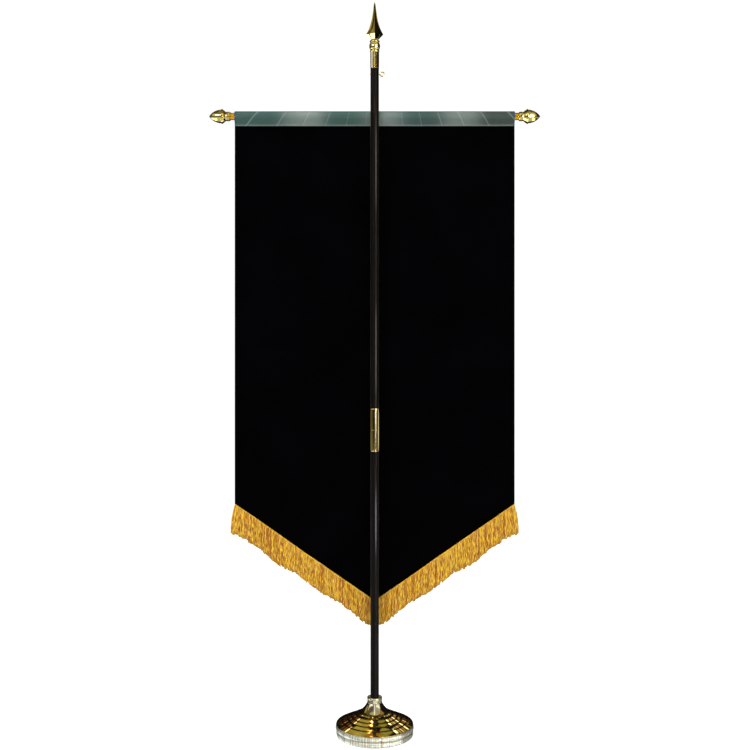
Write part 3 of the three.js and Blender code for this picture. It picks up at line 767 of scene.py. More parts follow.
def cloth_y(sizes, x, z):
    """Where the middle of the cloth lies, with its shallow folds."""
    flat_top = 60 * MM
    below = CLOTH_HIGH.z - z
    growth = smooth_step((below - flat_top) / (CLOTH_HIGH.z - sizes.cloth_corner))
    offset = np.zeros_like(x + z)
    for fold in FOLDS:
        away = (x - fold["at"] * MM - fold["drift"] * below) / (fold["wide"] * MM)
        offset = offset + fold["deep"] * MM * np.exp(-away * away)
    return BAR_Y + growth * offset


class BANNER_OT_base(bpy.types.Operator):
    """Build the weighted base: reeded bands, gilt band, stepped dome and socket"""

    bl_idname = "banner.base"
    bl_label = "Base"

    def execute(self, context):
        sizes = context.scene.banner_sizes
        self.reeded_band(context, sizes, "base_rim_lower", RIM_LOWER_LOW, RIM_LOWER_HIGH, RIM_LOWER_TOP)
        self.reeded_band(context, sizes, "base_rim_upper", RIM_UPPER_LOW, RIM_UPPER_HIGH, RIM_UPPER_TOP)
        soft, band_tarnish = 0.5 * MM, 0.25
        outline = stepped_rod(soft, (GROOVE_HIGH.x, GROOVE_LOW.z, GROOVE_HIGH.z))
        points, faces = turned(outline, sides=160)
        tracks = {"shade_and_tarnish": np.full(len(points), band_tarnish)}
        add_piece(context, "groove_band", points, faces, "gilt", "gilt", ["base_groove_band"], tracks=tracks)
        points, faces = turned(self.dome_outline(), sides=192)
        # The neck grows paler from its foot up
        neck = smooth_step((points[:, 2] - 76 * MM) / (18 * MM))
        # Painted shade in the corners of the rings' steps, and the paler neck
        tracks = {"shade_and_tarnish": self.dome_step_shade(points), "pale": neck}
        add_piece(context, "stepped_dome", points, faces, "brass", "brass", ["base_dome"], tracks=tracks)
        points, faces = turned(self.socket_outline(), sides=128)
        add_piece(context, "pole_socket", points, faces, "socket", "brass", ["base_socket"])
        return {"FINISHED"}

    def reeded_band(self, context, sizes, node, low, high, top_share):
        """A band of half-round reeds whose top and bottom edges are eased."""
        per_reed = 8
        levels = 14
        count = sizes.reeds * per_reed
        angle = np.arange(count) / count * math.tau
        across = (np.arange(count) % per_reed + 0.5) / per_reed * 2 - 1
        # Reeds differ in depth, the two flanks of a reed differ in tone, and each reed is darker towards its
        # grooves
        rng = np.random.default_rng(SEED + len(node))
        uneven = np.repeat(rng.uniform(0.6, 1.0, sizes.reeds), per_reed)
        groove = sizes.reed_depth * uneven * (1 - np.sqrt(1 - across**2))
        tone = np.repeat(rng.uniform(0.0, 0.85, sizes.reeds * 2), per_reed // 2) - 0.25 * across**4
        t = np.linspace(0, 1, levels)
        ease = 2.4 * MM * (np.abs(2 * t - 1) ** 3)
        reach = high.x * (1 + (top_share - 1) * t) - ease
        radius = reach[:, None] - groove[None, :]
        level = np.broadcast_to((low.z + (high.z - low.z) * t)[:, None], radius.shape)
        points = np.stack([radius * np.cos(angle), radius * np.sin(angle), level], axis=-1).reshape(-1, 3)
        faces = grid_quads(levels, count, wrap=True).tolist()
        points = np.vstack([points, (0, 0, low.z), (0, 0, high.z)])
        tracks = {"tone": np.append(np.tile(tone, levels), (0.5, 0.5))}
        last = (levels - 1) * count
        bottom = len(points) - 2
        for j in range(count):
            after = (j + 1) % count
            faces.append([bottom, after, j])
            faces.append([bottom + 1, last + j, last + after])
        add_piece(
            context, "reeded_" + node, points, faces, "nickel", "nickel", [node], sharp_deg=65, tracks=tracks
        )

    def dome_outline(self):
        """Rings that rise in a shallow bulge, a small rounded step between each two, and the flared neck."""
        underside, step_fillet, steps = 124.4 * MM, 0.7 * MM, 9
        corners = [(0, DOME_LOW.z, 0), (underside, DOME_LOW.z, 0.5 * MM)]
        for ring in DOME_RINGS:
            for i in range(steps + 1):
                t = i / steps
                radius = ring["outer"] + (ring["inner"] - ring["outer"]) * t
                height = ring["foot"] + (ring["crown"] - ring["foot"]) * t
                height += ring["bulge"] * math.sin(math.pi * t)
                fillet = step_fillet if i in (0, steps) else 0
                corners.append((radius * MM, height * MM, fillet))
        foot_radius, foot_level = FLARE["radius"] * MM, FLARE["level"] * MM
        neck_radius = 23.8 * MM
        # The flare ends short of upright, in a crisp seam under the socket
        last = 1.34
        inward = (foot_radius - neck_radius) / math.sin(last) ** FLARE["power"]
        upward = (DOME_HIGH.z - foot_level) / (1 - math.cos(last) ** FLARE["power"])
        for turn in np.linspace(0, last, 16):
            radius = foot_radius - inward * math.sin(turn) ** FLARE["power"]
            height = foot_level + upward * (1 - math.cos(turn) ** FLARE["power"])
            corners.append((radius, height, 0))
        seat = LOWER_POLE_LOW.z - GAP
        corners += [(SOCKET_BORE, DOME_HIGH.z, 0), (SOCKET_BORE, seat, 0), (0, seat, 0)]
        return rounded(corners)

    def dome_step_shade(self, points):
        """Painted shade in the corners where one ring steps up to the next."""
        radius = np.hypot(points[:, 0], points[:, 1])
        reach, dark, fade = 6 * MM, 2.2 * MM, 3.4 * MM
        darkened = np.zeros(len(points))
        for ring in DOME_RINGS:
            outward = radius - (ring["inner"] - 1.5) * MM
            corner = (outward > 0) & (outward < reach) & (points[:, 2] > ring["foot"] * MM)
            darkened = np.where(corner, 0.9 * (1 - smooth_step((outward - dark) / fade)), darkened)
        return darkened

    def socket_outline(self):
        """A short tube with a rolled lip."""
        lip = SOCKET_HIGH.x
        wall = lip - 0.7 * MM
        top = SOCKET_HIGH.z
        return rounded(
            [
                (SOCKET_BORE, SOCKET_LOW.z, 0),
                (wall, SOCKET_LOW.z, 0.8 * MM),
                (wall, top - 6.4 * MM, 0.6 * MM),
                (lip, top - 5.4 * MM, 0.8 * MM),
                (lip, top, 4.4 * MM),
                (SOCKET_BORE, top, 0.5 * MM),
                (SOCKET_BORE, SOCKET_LOW.z + 0.1 * MM, 0),
            ]
        )


class BANNER_OT_pole(bpy.types.Operator):
    """Build the two lengths of pole, the ferrule over their joint and the eye bolt"""

    bl_idname = "banner.pole"
    bl_label = "Pole"

    def execute(self, context):
        soft = 0.9 * MM
        shoulder = JOINT_LOW.z - GAP
        lower = stepped_rod(
            soft,
            (POLE_RADIUS, LOWER_POLE_LOW.z, shoulder),
            (TENON_RADIUS, shoulder, LOWER_POLE_HIGH.z),
        )
        add_piece(context, "pole_lower_length", *turned(lower), "wood", "ebonised_wood", ["pole_lower"])
        foot = JOINT_HIGH.z + GAP
        top = FERRULE_LOW.z - GAP
        upper = stepped_rod(
            soft,
            (TENON_RADIUS, UPPER_POLE_LOW.z, foot),
            (POLE_RADIUS, foot, top),
            (TENON_RADIUS, top, UPPER_POLE_HIGH.z),
        )
        add_piece(context, "pole_upper_length", *turned(upper), "wood", "ebonised_wood", ["pole_upper"])
        add_piece(context, "pole_joint", *turned(self.joint_outline()), "brass", "brass", ["joint_ferrule"])
        self.eye_bolt(context)
        return {"FINISHED"}

    def joint_outline(self):
        """A plain tube with a thin rolled edge at each end and a hairline where its halves screw together."""
        bore = TENON_BORE
        radius = JOINT_HIGH.x
        wall = radius - 0.25 * MM
        roll = 2.2 * MM
        split = (JOINT_LOW.z + JOINT_HIGH.z) / 2
        return rounded(
            [
                (bore, JOINT_LOW.z, 0),
                (radius, JOINT_LOW.z, 0.7 * MM),
                (radius, JOINT_LOW.z + roll, 0.5 * MM),
                (wall, JOINT_LOW.z + roll + 0.4 * MM, 0.3 * MM),
                (wall, split - 0.4 * MM, 0.2 * MM),
                (wall - 0.3 * MM, split, 0),
                (wall, split + 0.4 * MM, 0.2 * MM),
                (wall, JOINT_HIGH.z - roll - 0.4 * MM, 0.3 * MM),
                (radius, JOINT_HIGH.z - roll, 0.5 * MM),
                (radius, JOINT_HIGH.z, 0.7 * MM),
                (bore, JOINT_HIGH.z, 0),
                (bore, JOINT_LOW.z + 0.1 * MM, 0),
            ]
        )

    def eye_bolt(self, context):
        """A ring on a shank that runs through the pole."""
        wire = (EYE_HIGH.y - EYE_LOW.y) / 2
        level = (EYE_LOW.z + EYE_HIGH.z) / 2
        ring_radius = (EYE_HIGH.z - EYE_LOW.z) / 2 - wire
        centre = EYE_HIGH.x - ring_radius - wire
        around, section = 64, 20
        turn = np.arange(around) / around * math.tau
        round_ = np.arange(section) / section * math.tau
        reach = ring_radius + wire * np.cos(round_)[None, :]
        ring = np.stack(
            [
                centre + reach * np.cos(turn)[:, None],
                np.broadcast_to(wire * np.sin(round_)[None, :], (around, section)),
                level + reach * np.sin(turn)[:, None],
            ],
            axis=-1,
        ).reshape(-1, 3)
        quads = grid_quads(around + 1, section, wrap=True) % (around * section)
        faces = quads[:, ::-1].tolist()
        length = centre - ring_radius + 0.3 * wire - EYE_LOW.x
        shank_outline = rounded([(0, 0, 0), (wire, 0, 0.8 * MM), (wire, length, 0), (0, length, 0)])
        shank, shank_faces = turned(shank_outline, sides=32)
        laid = np.stack([EYE_LOW.x + shank[:, 2], shank[:, 1], level - shank[:, 0]], axis=-1)
        faces += [[len(ring) + i for i in f] for f in shank_faces]
        add_piece(context, "brass_eye", np.vstack([ring, laid]), faces, "brass", "brass", ["eye_bolt"])


class BANNER_OT_finial(bpy.types.Operator):
    """Build the spear finial: ferrule with a bead, ball with a collar, and the four-sided head"""

    bl_idname = "banner.finial"
    bl_label = "Spear finial"

    def execute(self, context):
        add_piece(
            context, "finial_tube", *turned(self.ferrule_outline()), "brass", "brass", ["finial_ferrule"]
        )
        add_piece(context, "finial_round", *turned(self.ball_outline()), "brass", "brass", ["finial_ball"])
        points, faces = self.spear()
        add_piece(context, "finial_head", points, faces, "brass", "brass", ["finial_spear"], sharp_deg=25)
        return {"FINISHED"}

    def ferrule_outline(self):
        """A tube with a blind bore for the pole's tenon, a slight flare and a bead at its top."""
        low, high = FERRULE_LOW.z, FERRULE_HIGH.z
        bead = FERRULE_HIGH.x
        bead_foot = high - 6.6 * MM
        bore = TENON_BORE
        bore_top = low + 44 * MM
        foot_radius, neck_radius, top_radius = 14.2 * MM, 14.45 * MM, 13 * MM
        return rounded(
            [
                (0, bore_top, 0),
                (bore, bore_top, 0),
                (bore, low, 0),
                (foot_radius, low, 0.5 * MM),
                (neck_radius, bead_foot, 0.4 * MM),
                (bead, bead_foot + 1.2 * MM, 1.2 * MM),
                (bead, bead_foot + 4.8 * MM, 1.6 * MM),
                (top_radius, high, 0.3 * MM),
                (0, high, 0),
            ]
        )

    def ball_outline(self):
        """A ball cut flat at its ends, with a collar over it."""
        foot, top = BALL_LOW.z, BALL_HIGH.z
        end, height = 13 * MM, 22 * MM
        swell = BALL_HIGH.x - end
        corners = [(0, foot, 0)]
        for t in np.linspace(0, 1, 25):
            bulge = math.sqrt(max(0.0, 1 - (2 * t - 1) ** 2))
            corners.append((end + swell * bulge, foot + t * height, 0))
        collar = top - foot - height
        neck, lip = 13.4 * MM, 16.4 * MM
        corners += [
            (neck, foot + height + 0.15 * collar, 0.4 * MM),
            (lip, foot + height + 0.32 * collar, 1.0 * MM),
            (lip, foot + height + 0.68 * collar, 1.0 * MM),
            (neck, top, 0.4 * MM),
            (0, top, 0),
        ]
        return rounded(corners)

    def spear(self):
        """Square sections with hollow faces, corners to the left, right, front and back."""
        hollow = 0.07
        per_face = 8
        heights, halves = self.spear_levels()
        corner = np.array([(1, 0), (0, 1), (-1, 0), (0, -1)], float)
        ring = []
        for i in range(4):
            for k in range(per_face):
                t = k / per_face
                along = corner[i] * (1 - t) + corner[(i + 1) % 4] * t
                ring.append(along * (1 - hollow * 4 * t * (1 - t)))
        ring = np.array(ring)
        levels, count = len(heights), len(ring)
        flat = halves[:, None, None] * ring[None, :, :]
        level = np.broadcast_to(SPEAR_LOW.z + heights[:, None, None], (levels, count, 1))
        points = np.concatenate([flat, level], axis=-1).reshape(-1, 3)
        faces = grid_quads(levels, count, wrap=True).tolist()
        faces += [list(range(count))[::-1], list(range((levels - 1) * count, levels * count))]
        return points, faces

    def spear_levels(self):
        """The spear's sections with smooth curves through them above and below its sharp shoulder."""
        rows = np.array([(s["height"], s["half"]) for s in SPEAR_SECTIONS]) * MM
        below = rows[: SPEAR_SHOULDER + 1]
        above = smooth_run(rows[SPEAR_SHOULDER:], 8)
        levels = np.vstack([below[:-1], above])
        return levels[:, 0], levels[:, 1]


def smooth_run(rows, steps):
    """A smooth curve through rows of numbers, with some steps between each two."""
    ends = np.vstack([2 * rows[0] - rows[1], rows, 2 * rows[-1] - rows[-2]])
    run = []
    for a, b, c, d in zip(ends, ends[1:], ends[2:], ends[3:]):
        for t in np.arange(steps) / steps:
            slope = (c - a) * t
            bend = (2 * a - 5 * b + 4 * c - d) * t**2
            turn = (3 * b - a - 3 * c + d) * t**3
            run.append(0.5 * (2 * b + slope + bend + turn))
    run.append(rows[-1])
    return np.array(run)


class BANNER_OT_crossbar(bpy.types.Operator):
    """Build the crossbar with its gilt ends, and the brass acorn on each end"""

    bl_idname = "banner.crossbar"
    bl_label = "Crossbar and acorns"

    def execute(self, context):
        shoulder, tip = 454 * MM, BAR_HIGH.x
        tip_radius = 12.1 * MM
        soft = 0.8 * MM
        outline = stepped_rod(
            soft,
            (tip_radius, -tip, -shoulder),
            (BAR_RADIUS, -shoulder, shoulder),
            (tip_radius, shoulder, tip),
        )
        points, faces = turned(outline, sides=64)
        add_piece(context, "gilt_crossbar", along_bar(points, 1), faces, "gilt", "gilt", ["crossbar"])
        for side, node in ((1, "acorn_right"), (-1, "acorn_left")):
            points, faces = turned(self.acorn_outline())
            laid = along_bar(points, side)
            add_piece(context, "brass_" + node, laid, faces, "brass", "brass", [node], sharp_deg=32)
        return {"FINISHED"}

    def acorn_outline(self):
        """A barrel, a cap in two slopes with a sharp rim, and a pointed nut whose outline is an arc."""
        foot, tip = ACORN_LOW.x, ACORN_HIGH.x
        barrel, cap = 14.2 * MM, 14 * MM
        barrel_radius, rim_radius, nut_radius = 15.6 * MM, ACORN_HIGH.z - BAR_LEVEL, 22.4 * MM
        rim = foot + barrel + cap
        corners = [(0, foot, 0), (13.8 * MM, foot, 0.5 * MM)]
        for t in np.linspace(0.15, 0.85, 7):
            swell = math.sqrt(1 - (2 * t - 1) ** 2 * 0.35)
            corners.append((13.6 * MM + 2.0 * MM * swell, foot + t * barrel, 0))
        corners += [
            (barrel_radius - 1.0 * MM, foot + barrel, 0.4 * MM),
            (rim_radius - 4.4 * MM, rim - 0.46 * cap, 0.5 * MM),
            (rim_radius - 4.0 * MM, rim - 0.4 * cap, 0.3 * MM),
            (rim_radius, rim, 0.35 * MM),
            (nut_radius + 0.3 * MM, rim + 0.5 * MM, 0.3 * MM),
        ]
        length = tip - rim
        arc = (nut_radius**2 + length**2) / (2 * nut_radius)
        for along in np.linspace(0.03, 0.985, 28) * length:
            corners.append((nut_radius - arc + math.sqrt(arc**2 - along**2), rim + along, 0))
        corners.append((0, tip, 0))
        return rounded(corners)


class BANNER_OT_sleeve(bpy.types.Operator):
    """Build the heading sleeve over the crossbar, with its seam sewn to both faces of the cloth"""

    bl_idname = "banner.sleeve"
    bl_label = "Heading sleeve"

    def execute(self, context):
        sizes = context.scene.banner_sizes
        line, length = self.section_line(sizes)
        columns = 240
        x = np.linspace(SLEEVE_LOW.x, SLEEVE_HIGH.x, columns)
        run = np.gradient(line, axis=0)
        normal = np.stack([run[:, 1], -run[:, 0]], axis=-1)
        normal /= np.linalg.norm(normal, axis=1, keepdims=True)
        slack = self.slack(x, line, sizes)
        outer = self.swept(x, line, normal, slack + sizes.sleeve_wall / 2)
        inner = self.swept(x, line, normal, slack - sizes.sleeve_wall / 2)
        points, faces = closed_sheet(outer, inner)
        sleeve = add_piece(
            context, "satin_sleeve", points, faces, "satin", "heading_satin", ["heading_sleeve"], sharp_deg=60
        )
        stitches = self.stitches(context, sizes)
        return {"FINISHED"}

    def section_line(self, sizes):
        """The sleeve's middle line across the bar, from its front hem over the top to its back hem."""
        radius = SLEEVE_HIGH.z - BAR_LEVEL - sizes.sleeve_wall / 2
        leg = (sizes.cloth_thick + sizes.sleeve_wall) / 2 + GAP
        hem = SLEEVE_LOW.z - BAR_LEVEL
        seam = hem + sizes.sleeve_tuck
        touch = math.atan2(seam, leg) + math.acos(radius / math.hypot(leg, seam))
        tangent = np.array((radius * math.cos(touch), radius * math.sin(touch)))
        band = np.stack([np.full(8, leg), np.linspace(hem, seam, 8)], axis=-1)
        slope = np.array((leg, seam)) + (tangent - (leg, seam)) * np.linspace(0, 1, 9)[1:-1, None]
        angle = np.linspace(touch, math.pi - touch, 44)
        arc = radius * np.stack([np.cos(angle), np.sin(angle)], axis=-1)
        mirror = np.array((-1, 1))
        line = np.vstack([band, slope, arc, slope[::-1] * mirror, band[::-1] * mirror])[::-1]
        length = float(np.linalg.norm(np.diff(line, axis=0), axis=1).sum())
        return line, length

    def slack(self, x, line, sizes):
        """Small outward puckers above the seam, which die away towards the bar and towards the stitching."""
        hem = SLEEVE_LOW.z - BAR_LEVEL
        pucker_height, pucker_depth = 16 * MM, 0.55 * MM
        rise = (line[:, 1] - hem - sizes.sleeve_tuck) / pucker_height
        where = np.clip(rise, 0, 1) * np.clip(1 - rise, 0, 1) * 4
        where = np.where(rise > 1, 0, where)
        rng = np.random.default_rng(SEED)
        depth = np.zeros_like(x)
        for wave in (23, 37, 61, 96):
            depth = depth + np.sin(x / (wave * MM) * math.tau + rng.uniform(0, math.tau))
        depth = pucker_depth * np.clip(depth / 2 + 0.5, 0, None)
        return where[:, None] * depth[None, :]

    def swept(self, x, line, normal, distance):
        """Points of the section line along the bar, moved out from the line by a distance."""
        flat = line[:, None, :] - normal[:, None, :] * distance[:, :, None]
        across = np.broadcast_to(x[None, :, None], flat[:, :, :1].shape)
        return np.concatenate([across, BAR_Y + flat[:, :, :1], BAR_LEVEL + flat[:, :, 1:]], axis=-1)

    def stitches(self, context, sizes):
        """Two rows of stitches, one on each face of the sleeve, close above its hem."""
        pitch, stitch, thread = 4.2 * MM, 3.0 * MM, 0.35 * MM
        count = int((SLEEVE_HIGH.x - SLEEVE_LOW.x) / pitch)
        start = SLEEVE_LOW.x + (SLEEVE_HIGH.x - SLEEVE_LOW.x - count * pitch) / 2
        level = SLEEVE_LOW.z + 3.2 * MM
        face = sizes.cloth_thick / 2 + GAP + sizes.sleeve_wall
        points, faces = [], []
        for side in (-1, 1):
            for n in range(count):
                low = start + n * pitch + (pitch - stitch) / 2
                add_stitch(points, faces, (low, BAR_Y + side * face, level), (stitch, 0, 0), thread)
        return add_piece(context, "sleeve_stitches", points, faces, "satin_thread", "heading_satin")


def add_stitch(points, faces, start, run, thread):
    """One stitch: a short thread that rises out of the cloth and dips back into it."""
    sections, sides = 5, 6
    start, run = np.array(start), np.array(run)
    along = run / np.linalg.norm(run)
    beside = np.cross(along, (0, 1, 0))
    base = len(points)
    for s in range(sections):
        t = s / (sections - 1)
        width = thread * (0.35 + 0.65 * math.sin(math.pi * t))
        for k in range(sides):
            angle = k / sides * math.tau
            offset = beside * math.cos(angle) + np.array((0, 1, 0)) * math.sin(angle)
            points.append(start + run * t + offset * width)
    for s in range(sections - 1):
        for k in range(sides):
            a, b = base + s * sides + k, base + s * sides + (k + 1) % sides
            faces.append([a, b, b + sides, a + sides])
    last = base + (sections - 1) * sides
    faces.append(list(range(base, base + sides))[::-1])
    faces.append(list(range(last, last + sides)))


def closed_sheet(front, back):
    """Points and faces of a thin sheet from its two sides, grids of the same size, joined round the rim."""
    rows, columns = front.shape[:2]
    count = rows * columns
    points = np.vstack([front.reshape(-1, 3), back.reshape(-1, 3)])
    quads = grid_quads(rows, columns)
    faces = quads.tolist() + (quads[:, ::-1] + count).tolist()
    rim = list(range(columns - 1))
    rim += [r * columns + columns - 1 for r in range(rows - 1)]
    rim += [(rows - 1) * columns + c for c in range(columns - 1, 0, -1)]
    rim += [r * columns for r in range(rows - 1, 0, -1)]
    for a, b in zip(rim, rim[1:] + rim[:1]):
        faces.append([b, a, a + count, b + count])
    return points, faces


class BANNER_OT_cloth(bpy.types.Operator):
    """Build the pointed black cloth with its shallow folds and its hems"""

    bl_idname = "banner.cloth"
    bl_label = "Cloth"

    def execute(self, context):
        sizes = context.scene.banner_sizes
        columns, rows = 125, 190
        x = np.linspace(-HALF_WIDTH, HALF_WIDTH, columns)[None, :]
        edge = cloth_edge(sizes, x)
        t = np.linspace(0, 1, rows)[:, None]
        z = CLOTH_HIGH.z + (edge - CLOTH_HIGH.z) * t
        x = np.broadcast_to(x, z.shape)
        middle = cloth_y(sizes, x, z) + self.creases(x, z)
        half = sizes.cloth_thick / 2 + self.hem(x, z)
        front = np.stack([x, middle - half, z], axis=-1)
        back = np.stack([x, middle + half, z], axis=-1)
        points, faces = closed_sheet(front[::-1], back[::-1])
        cloth = add_piece(
            context, "pointed_cloth", points, faces, "cloth", "black_cloth", ["banner_cloth"], sharp_deg=60
        )
        # The brass in front mirrors the room on all sides, so the cloth is left out of the reflections
        cloth.visible_glossy = False
        return {"FINISHED"}

    def creases(self, x, z):
        """Fine unevenness of cloth that has hung for a while."""
        rng = np.random.default_rng(SEED + 1)
        flat_top, run, slow_wave = 40 * MM, 500 * MM, 430 * MM
        below = smooth_step((CLOTH_HIGH.z - z - flat_top) / run)
        depth = np.zeros_like(x)
        for wave, amount in ((118, 0.32), (74, 0.2), (47, 0.12)):
            lean = rng.uniform(-0.12, 0.12)
            phase = rng.uniform(0, math.tau)
            slow = 0.6 + 0.4 * np.sin(z / slow_wave + phase)
            depth = depth + amount * MM * slow * np.sin((x + lean * z) / (wave * MM) * math.tau + phase)
        return below * depth

    def hem(self, x, z):
        """Extra half thickness where the side edges are turned in."""
        turn_in, extra = 22 * MM, 0.3 * MM
        inward = HALF_WIDTH - np.abs(x)
        below_sleeve = smooth_step((SLEEVE_LOW.z - 4 * MM - z) / (8 * MM))
        return extra * (1 - smooth_step((inward - turn_in) / (3 * MM))) * below_sleeve


class BANNER_OT_fringe(bpy.types.Operator):
    """Build the bullion fringe along both lower edges: a gold tape and three rows of twisted strands"""

    bl_idname = "banner.fringe"
    bl_label = "Bullion fringe"

    def execute(self, context):
        sizes = context.scene.banner_sizes
        for side, name in ((-1, "left"), (1, "right")):
            node = f"fringe_{name}"
            self.row(context, sizes, side, node + "_front", depth=-0.9 * MM, offset=0.0, replaces=[node])
            self.row(context, sizes, side, node + "_back", depth=1.3 * MM, offset=0.5)
            self.row(context, sizes, side, node + "_middle", depth=0.3 * MM, offset=0.25, loose=0.25)
            self.tape(context, sizes, side, node + "_tape")
        return {"FINISHED"}

    def tip_places(self, x, n, rng):
        """How far each strand's middle is moved aside at the partings, and its extra drop."""
        parted = np.zeros_like(x)
        for parting in PARTINGS:
            away = (x - parting["at"] * MM) / (parting["run"] * MM)
            parted = parted + np.sign(away) * parting["opening"] * MM * np.exp(-away * away)
        # The lower edge rolls gently, hangs lower towards the sides, lifts at the very end and is ragged
        roll = 4.2 * MM * np.sin(x / (142 * MM) * math.tau)
        lower = 7 * MM * smooth_step((x - 150 * MM) / (220 * MM))
        lifted = 5.5 * MM * smooth_step((x - 390 * MM) / (60 * MM))
        outer = lower - lifted
        shared = np.random.default_rng(SEED + 5).uniform(-3.4, 3.4, len(x) // 2 + 2)[n // 2]
        ragged = (shared + rng.uniform(-0.9, 0.9, len(x))) * MM
        return parted, roll + outer - 3.4 * MM + ragged

    def flare(self, x):
        """How far the last strands spread beyond the cloth's side."""
        spread, run = 13.5 * MM, 45 * MM
        return spread * smooth_step((x - HALF_WIDTH + run) / run) ** 2

    def row(self, context, sizes, side, name, depth, offset, replaces=(), loose=1.0):
        """One row of twisted strands, hung from inside the tape."""
        rng = np.random.default_rng(SEED + len(name) + int(10 * offset) + (side + 1))
        # The stiller middle row is hidden by the other two and has fewer rings
        rows, sides = (60 if loose == 1.0 else 30), 6
        round_end, lobe_depth = 2.2 * MM, 0.2
        n = np.arange(sizes.strands - (1 if offset else 0))
        along = np.linspace(0, HALF_WIDTH, 800)
        ends = along + self.flare(along)
        x = np.interp((n + 0.5 + offset) / sizes.strands * ends[-1], ends, along)
        outward = self.flare(x)
        parted, longer = self.tip_places(x, n, rng)
        lean = math.hypot(1, (sizes.cloth_corner - CLOTH_LOW.z) / HALF_WIDTH)
        edge = cloth_edge(sizes, x)
        root = edge - 0.4 * sizes.fringe_heading * lean
        tip = edge - sizes.strand_length - longer + (1 - loose) * 8 * MM
        t = np.linspace(0, 1, rows)
        bend = 1 - (1 - t) ** 2.2
        flared = 1 - (1 - t) ** 2.3
        wander = loose * self.wander(n, t, rng) * (1 - 0.8 * outward / outward.max())[:, None]
        opened = parted * (0 if offset else 0.7)
        across = x[:, None] + outward[:, None] * flared + opened[:, None] * np.sin(math.pi * t**0.8) + wander
        level = root[:, None] + (tip - root)[:, None] * t
        sway = rng.uniform(-1.3, 1.3, len(n)) * MM
        thick = sizes.strand_radius * rng.uniform(0.85, 1.2, len(n))
        forward = cloth_y(sizes, side * x, edge)[:, None] + depth + sway[:, None] * bend
        first_turn = rng.uniform(0, math.tau, len(n))[:, None]
        twist = (root[:, None] - level) / sizes.twist_pitch * math.tau + first_turn
        from_tip = (level - tip[:, None]) / round_end
        end = np.sqrt(np.clip(1 - np.clip(1 - from_tip, 0, 0.985) ** 2, 0, 1))
        around = np.arange(sides) / sides * math.tau
        lobes = 1 + lobe_depth * np.cos(2 * (around[None, None, :] - twist[:, :, None]))
        radius = (thick[:, None] * end)[:, :, None] * lobes
        points = np.stack(
            [
                side * (across[:, :, None] + radius * np.cos(around)),
                forward[:, :, None] + radius * np.sin(around),
                np.broadcast_to(level[:, :, None], radius.shape),
            ],
            axis=-1,
        )
        quads = grid_quads(rows, sides, wrap=True)[:, ::-side]
        caps = (np.arange(sides)[::side], (rows - 1) * sides + np.arange(sides)[::-side])
        faces = []
        for strand in range(len(n)):
            start = strand * rows * sides
            faces += (quads + start).tolist()
            faces += [(cap + start).tolist() for cap in caps]
        # The back and middle rows are painted darker, as shade behind the front row
        tone = self.tones(x, n, t, rng) - (0.1 if offset else 0)
        tracks = {
            "tone": np.broadcast_to(tone[:, :, None], radius.shape),
            "drop": np.broadcast_to(t[None, :, None], radius.shape),
        }
        add_piece(context, name, points, faces, "bullion", "bullion", replaces, sharp_deg=80, tracks=tracks)

    def wander(self, n, t, rng):
        """Slow sideways waviness that neighbouring strands share, so that they stay side by side."""
        drift = np.zeros((len(n), len(t)))
        for strands, turns, amount in ((17, 1.3, 0.9), (5, 2.4, 0.8), (2, 3.7, 0.5), (1, 5.2, 0.3)):
            knots = np.arange(0, len(n) + strands, strands)
            phase = np.interp(n, knots, rng.uniform(0, math.tau, len(knots)))
            drift += amount * MM * np.sin(math.tau * turns * t[None, :] + phase[:, None]) * t[None, :] ** 0.5
        return drift

    def tones(self, x, n, t, rng):
        """Tones down each strand, shared in part within a bunch of two, with a patchy painted shadow at the
        partings.
        """
        bunch = rng.uniform(0, 1, len(n) // 2 + 2)[(n + rng.integers(0, 2)) // 2]
        tone = 0.05 * bunch + 0.42 * rng.uniform(-0.2, 0.8, len(n))
        shadow = np.zeros(len(n))
        for parting in PARTINGS:
            shadow = shadow + 0.42 * np.exp(-(((x - parting["at"] * MM) / (2.6 * MM)) ** 2))
        patchy = smooth_step(t / 0.35) * (0.65 + 0.35 * np.sin(7.5 * t[None, :] + 0.9 * n[:, None]))
        return tone[:, None] - shadow[:, None] * patchy

    def tape(self, context, sizes, side, name):
        """A rounded tape below the cloth's edge, with a row of stitches along each face."""
        steps, sides = 150, 20
        x = np.linspace(0.15 * MM, HALF_WIDTH, steps)
        slope = (sizes.cloth_corner - CLOTH_LOW.z) / HALF_WIDTH
        lean = math.hypot(1, slope)
        edge = cloth_edge(sizes, x)
        middle = edge - (GAP + sizes.fringe_heading / 2) * lean
        angle = np.arange(sides) / sides * math.tau
        up = np.sign(np.sin(angle)) * np.abs(np.sin(angle)) ** 0.55 * sizes.fringe_heading / 2
        half_thick = 1.9 * MM
        out = np.sign(np.cos(angle)) * np.abs(np.cos(angle)) ** 0.7 * half_thick
        y = cloth_y(sizes, side * x, edge)
        points = np.stack(
            [
                np.broadcast_to(side * x[:, None], (steps, sides)),
                y[:, None] + out[None, :],
                middle[:, None] + up[None, :] * lean,
            ],
            axis=-1,
        ).reshape(-1, 3)
        faces = grid_quads(steps, sides, wrap=True)[:, ::side].tolist()
        faces.append(list(range(sides))[::side])
        faces.append(list(range((steps - 1) * sides, steps * sides))[::-side])
        add_piece(context, name, points, faces, "tape", "bullion", sharp_deg=60)
        self.tape_stitches(context, sizes, side, name + "_stitches", slope, lean)

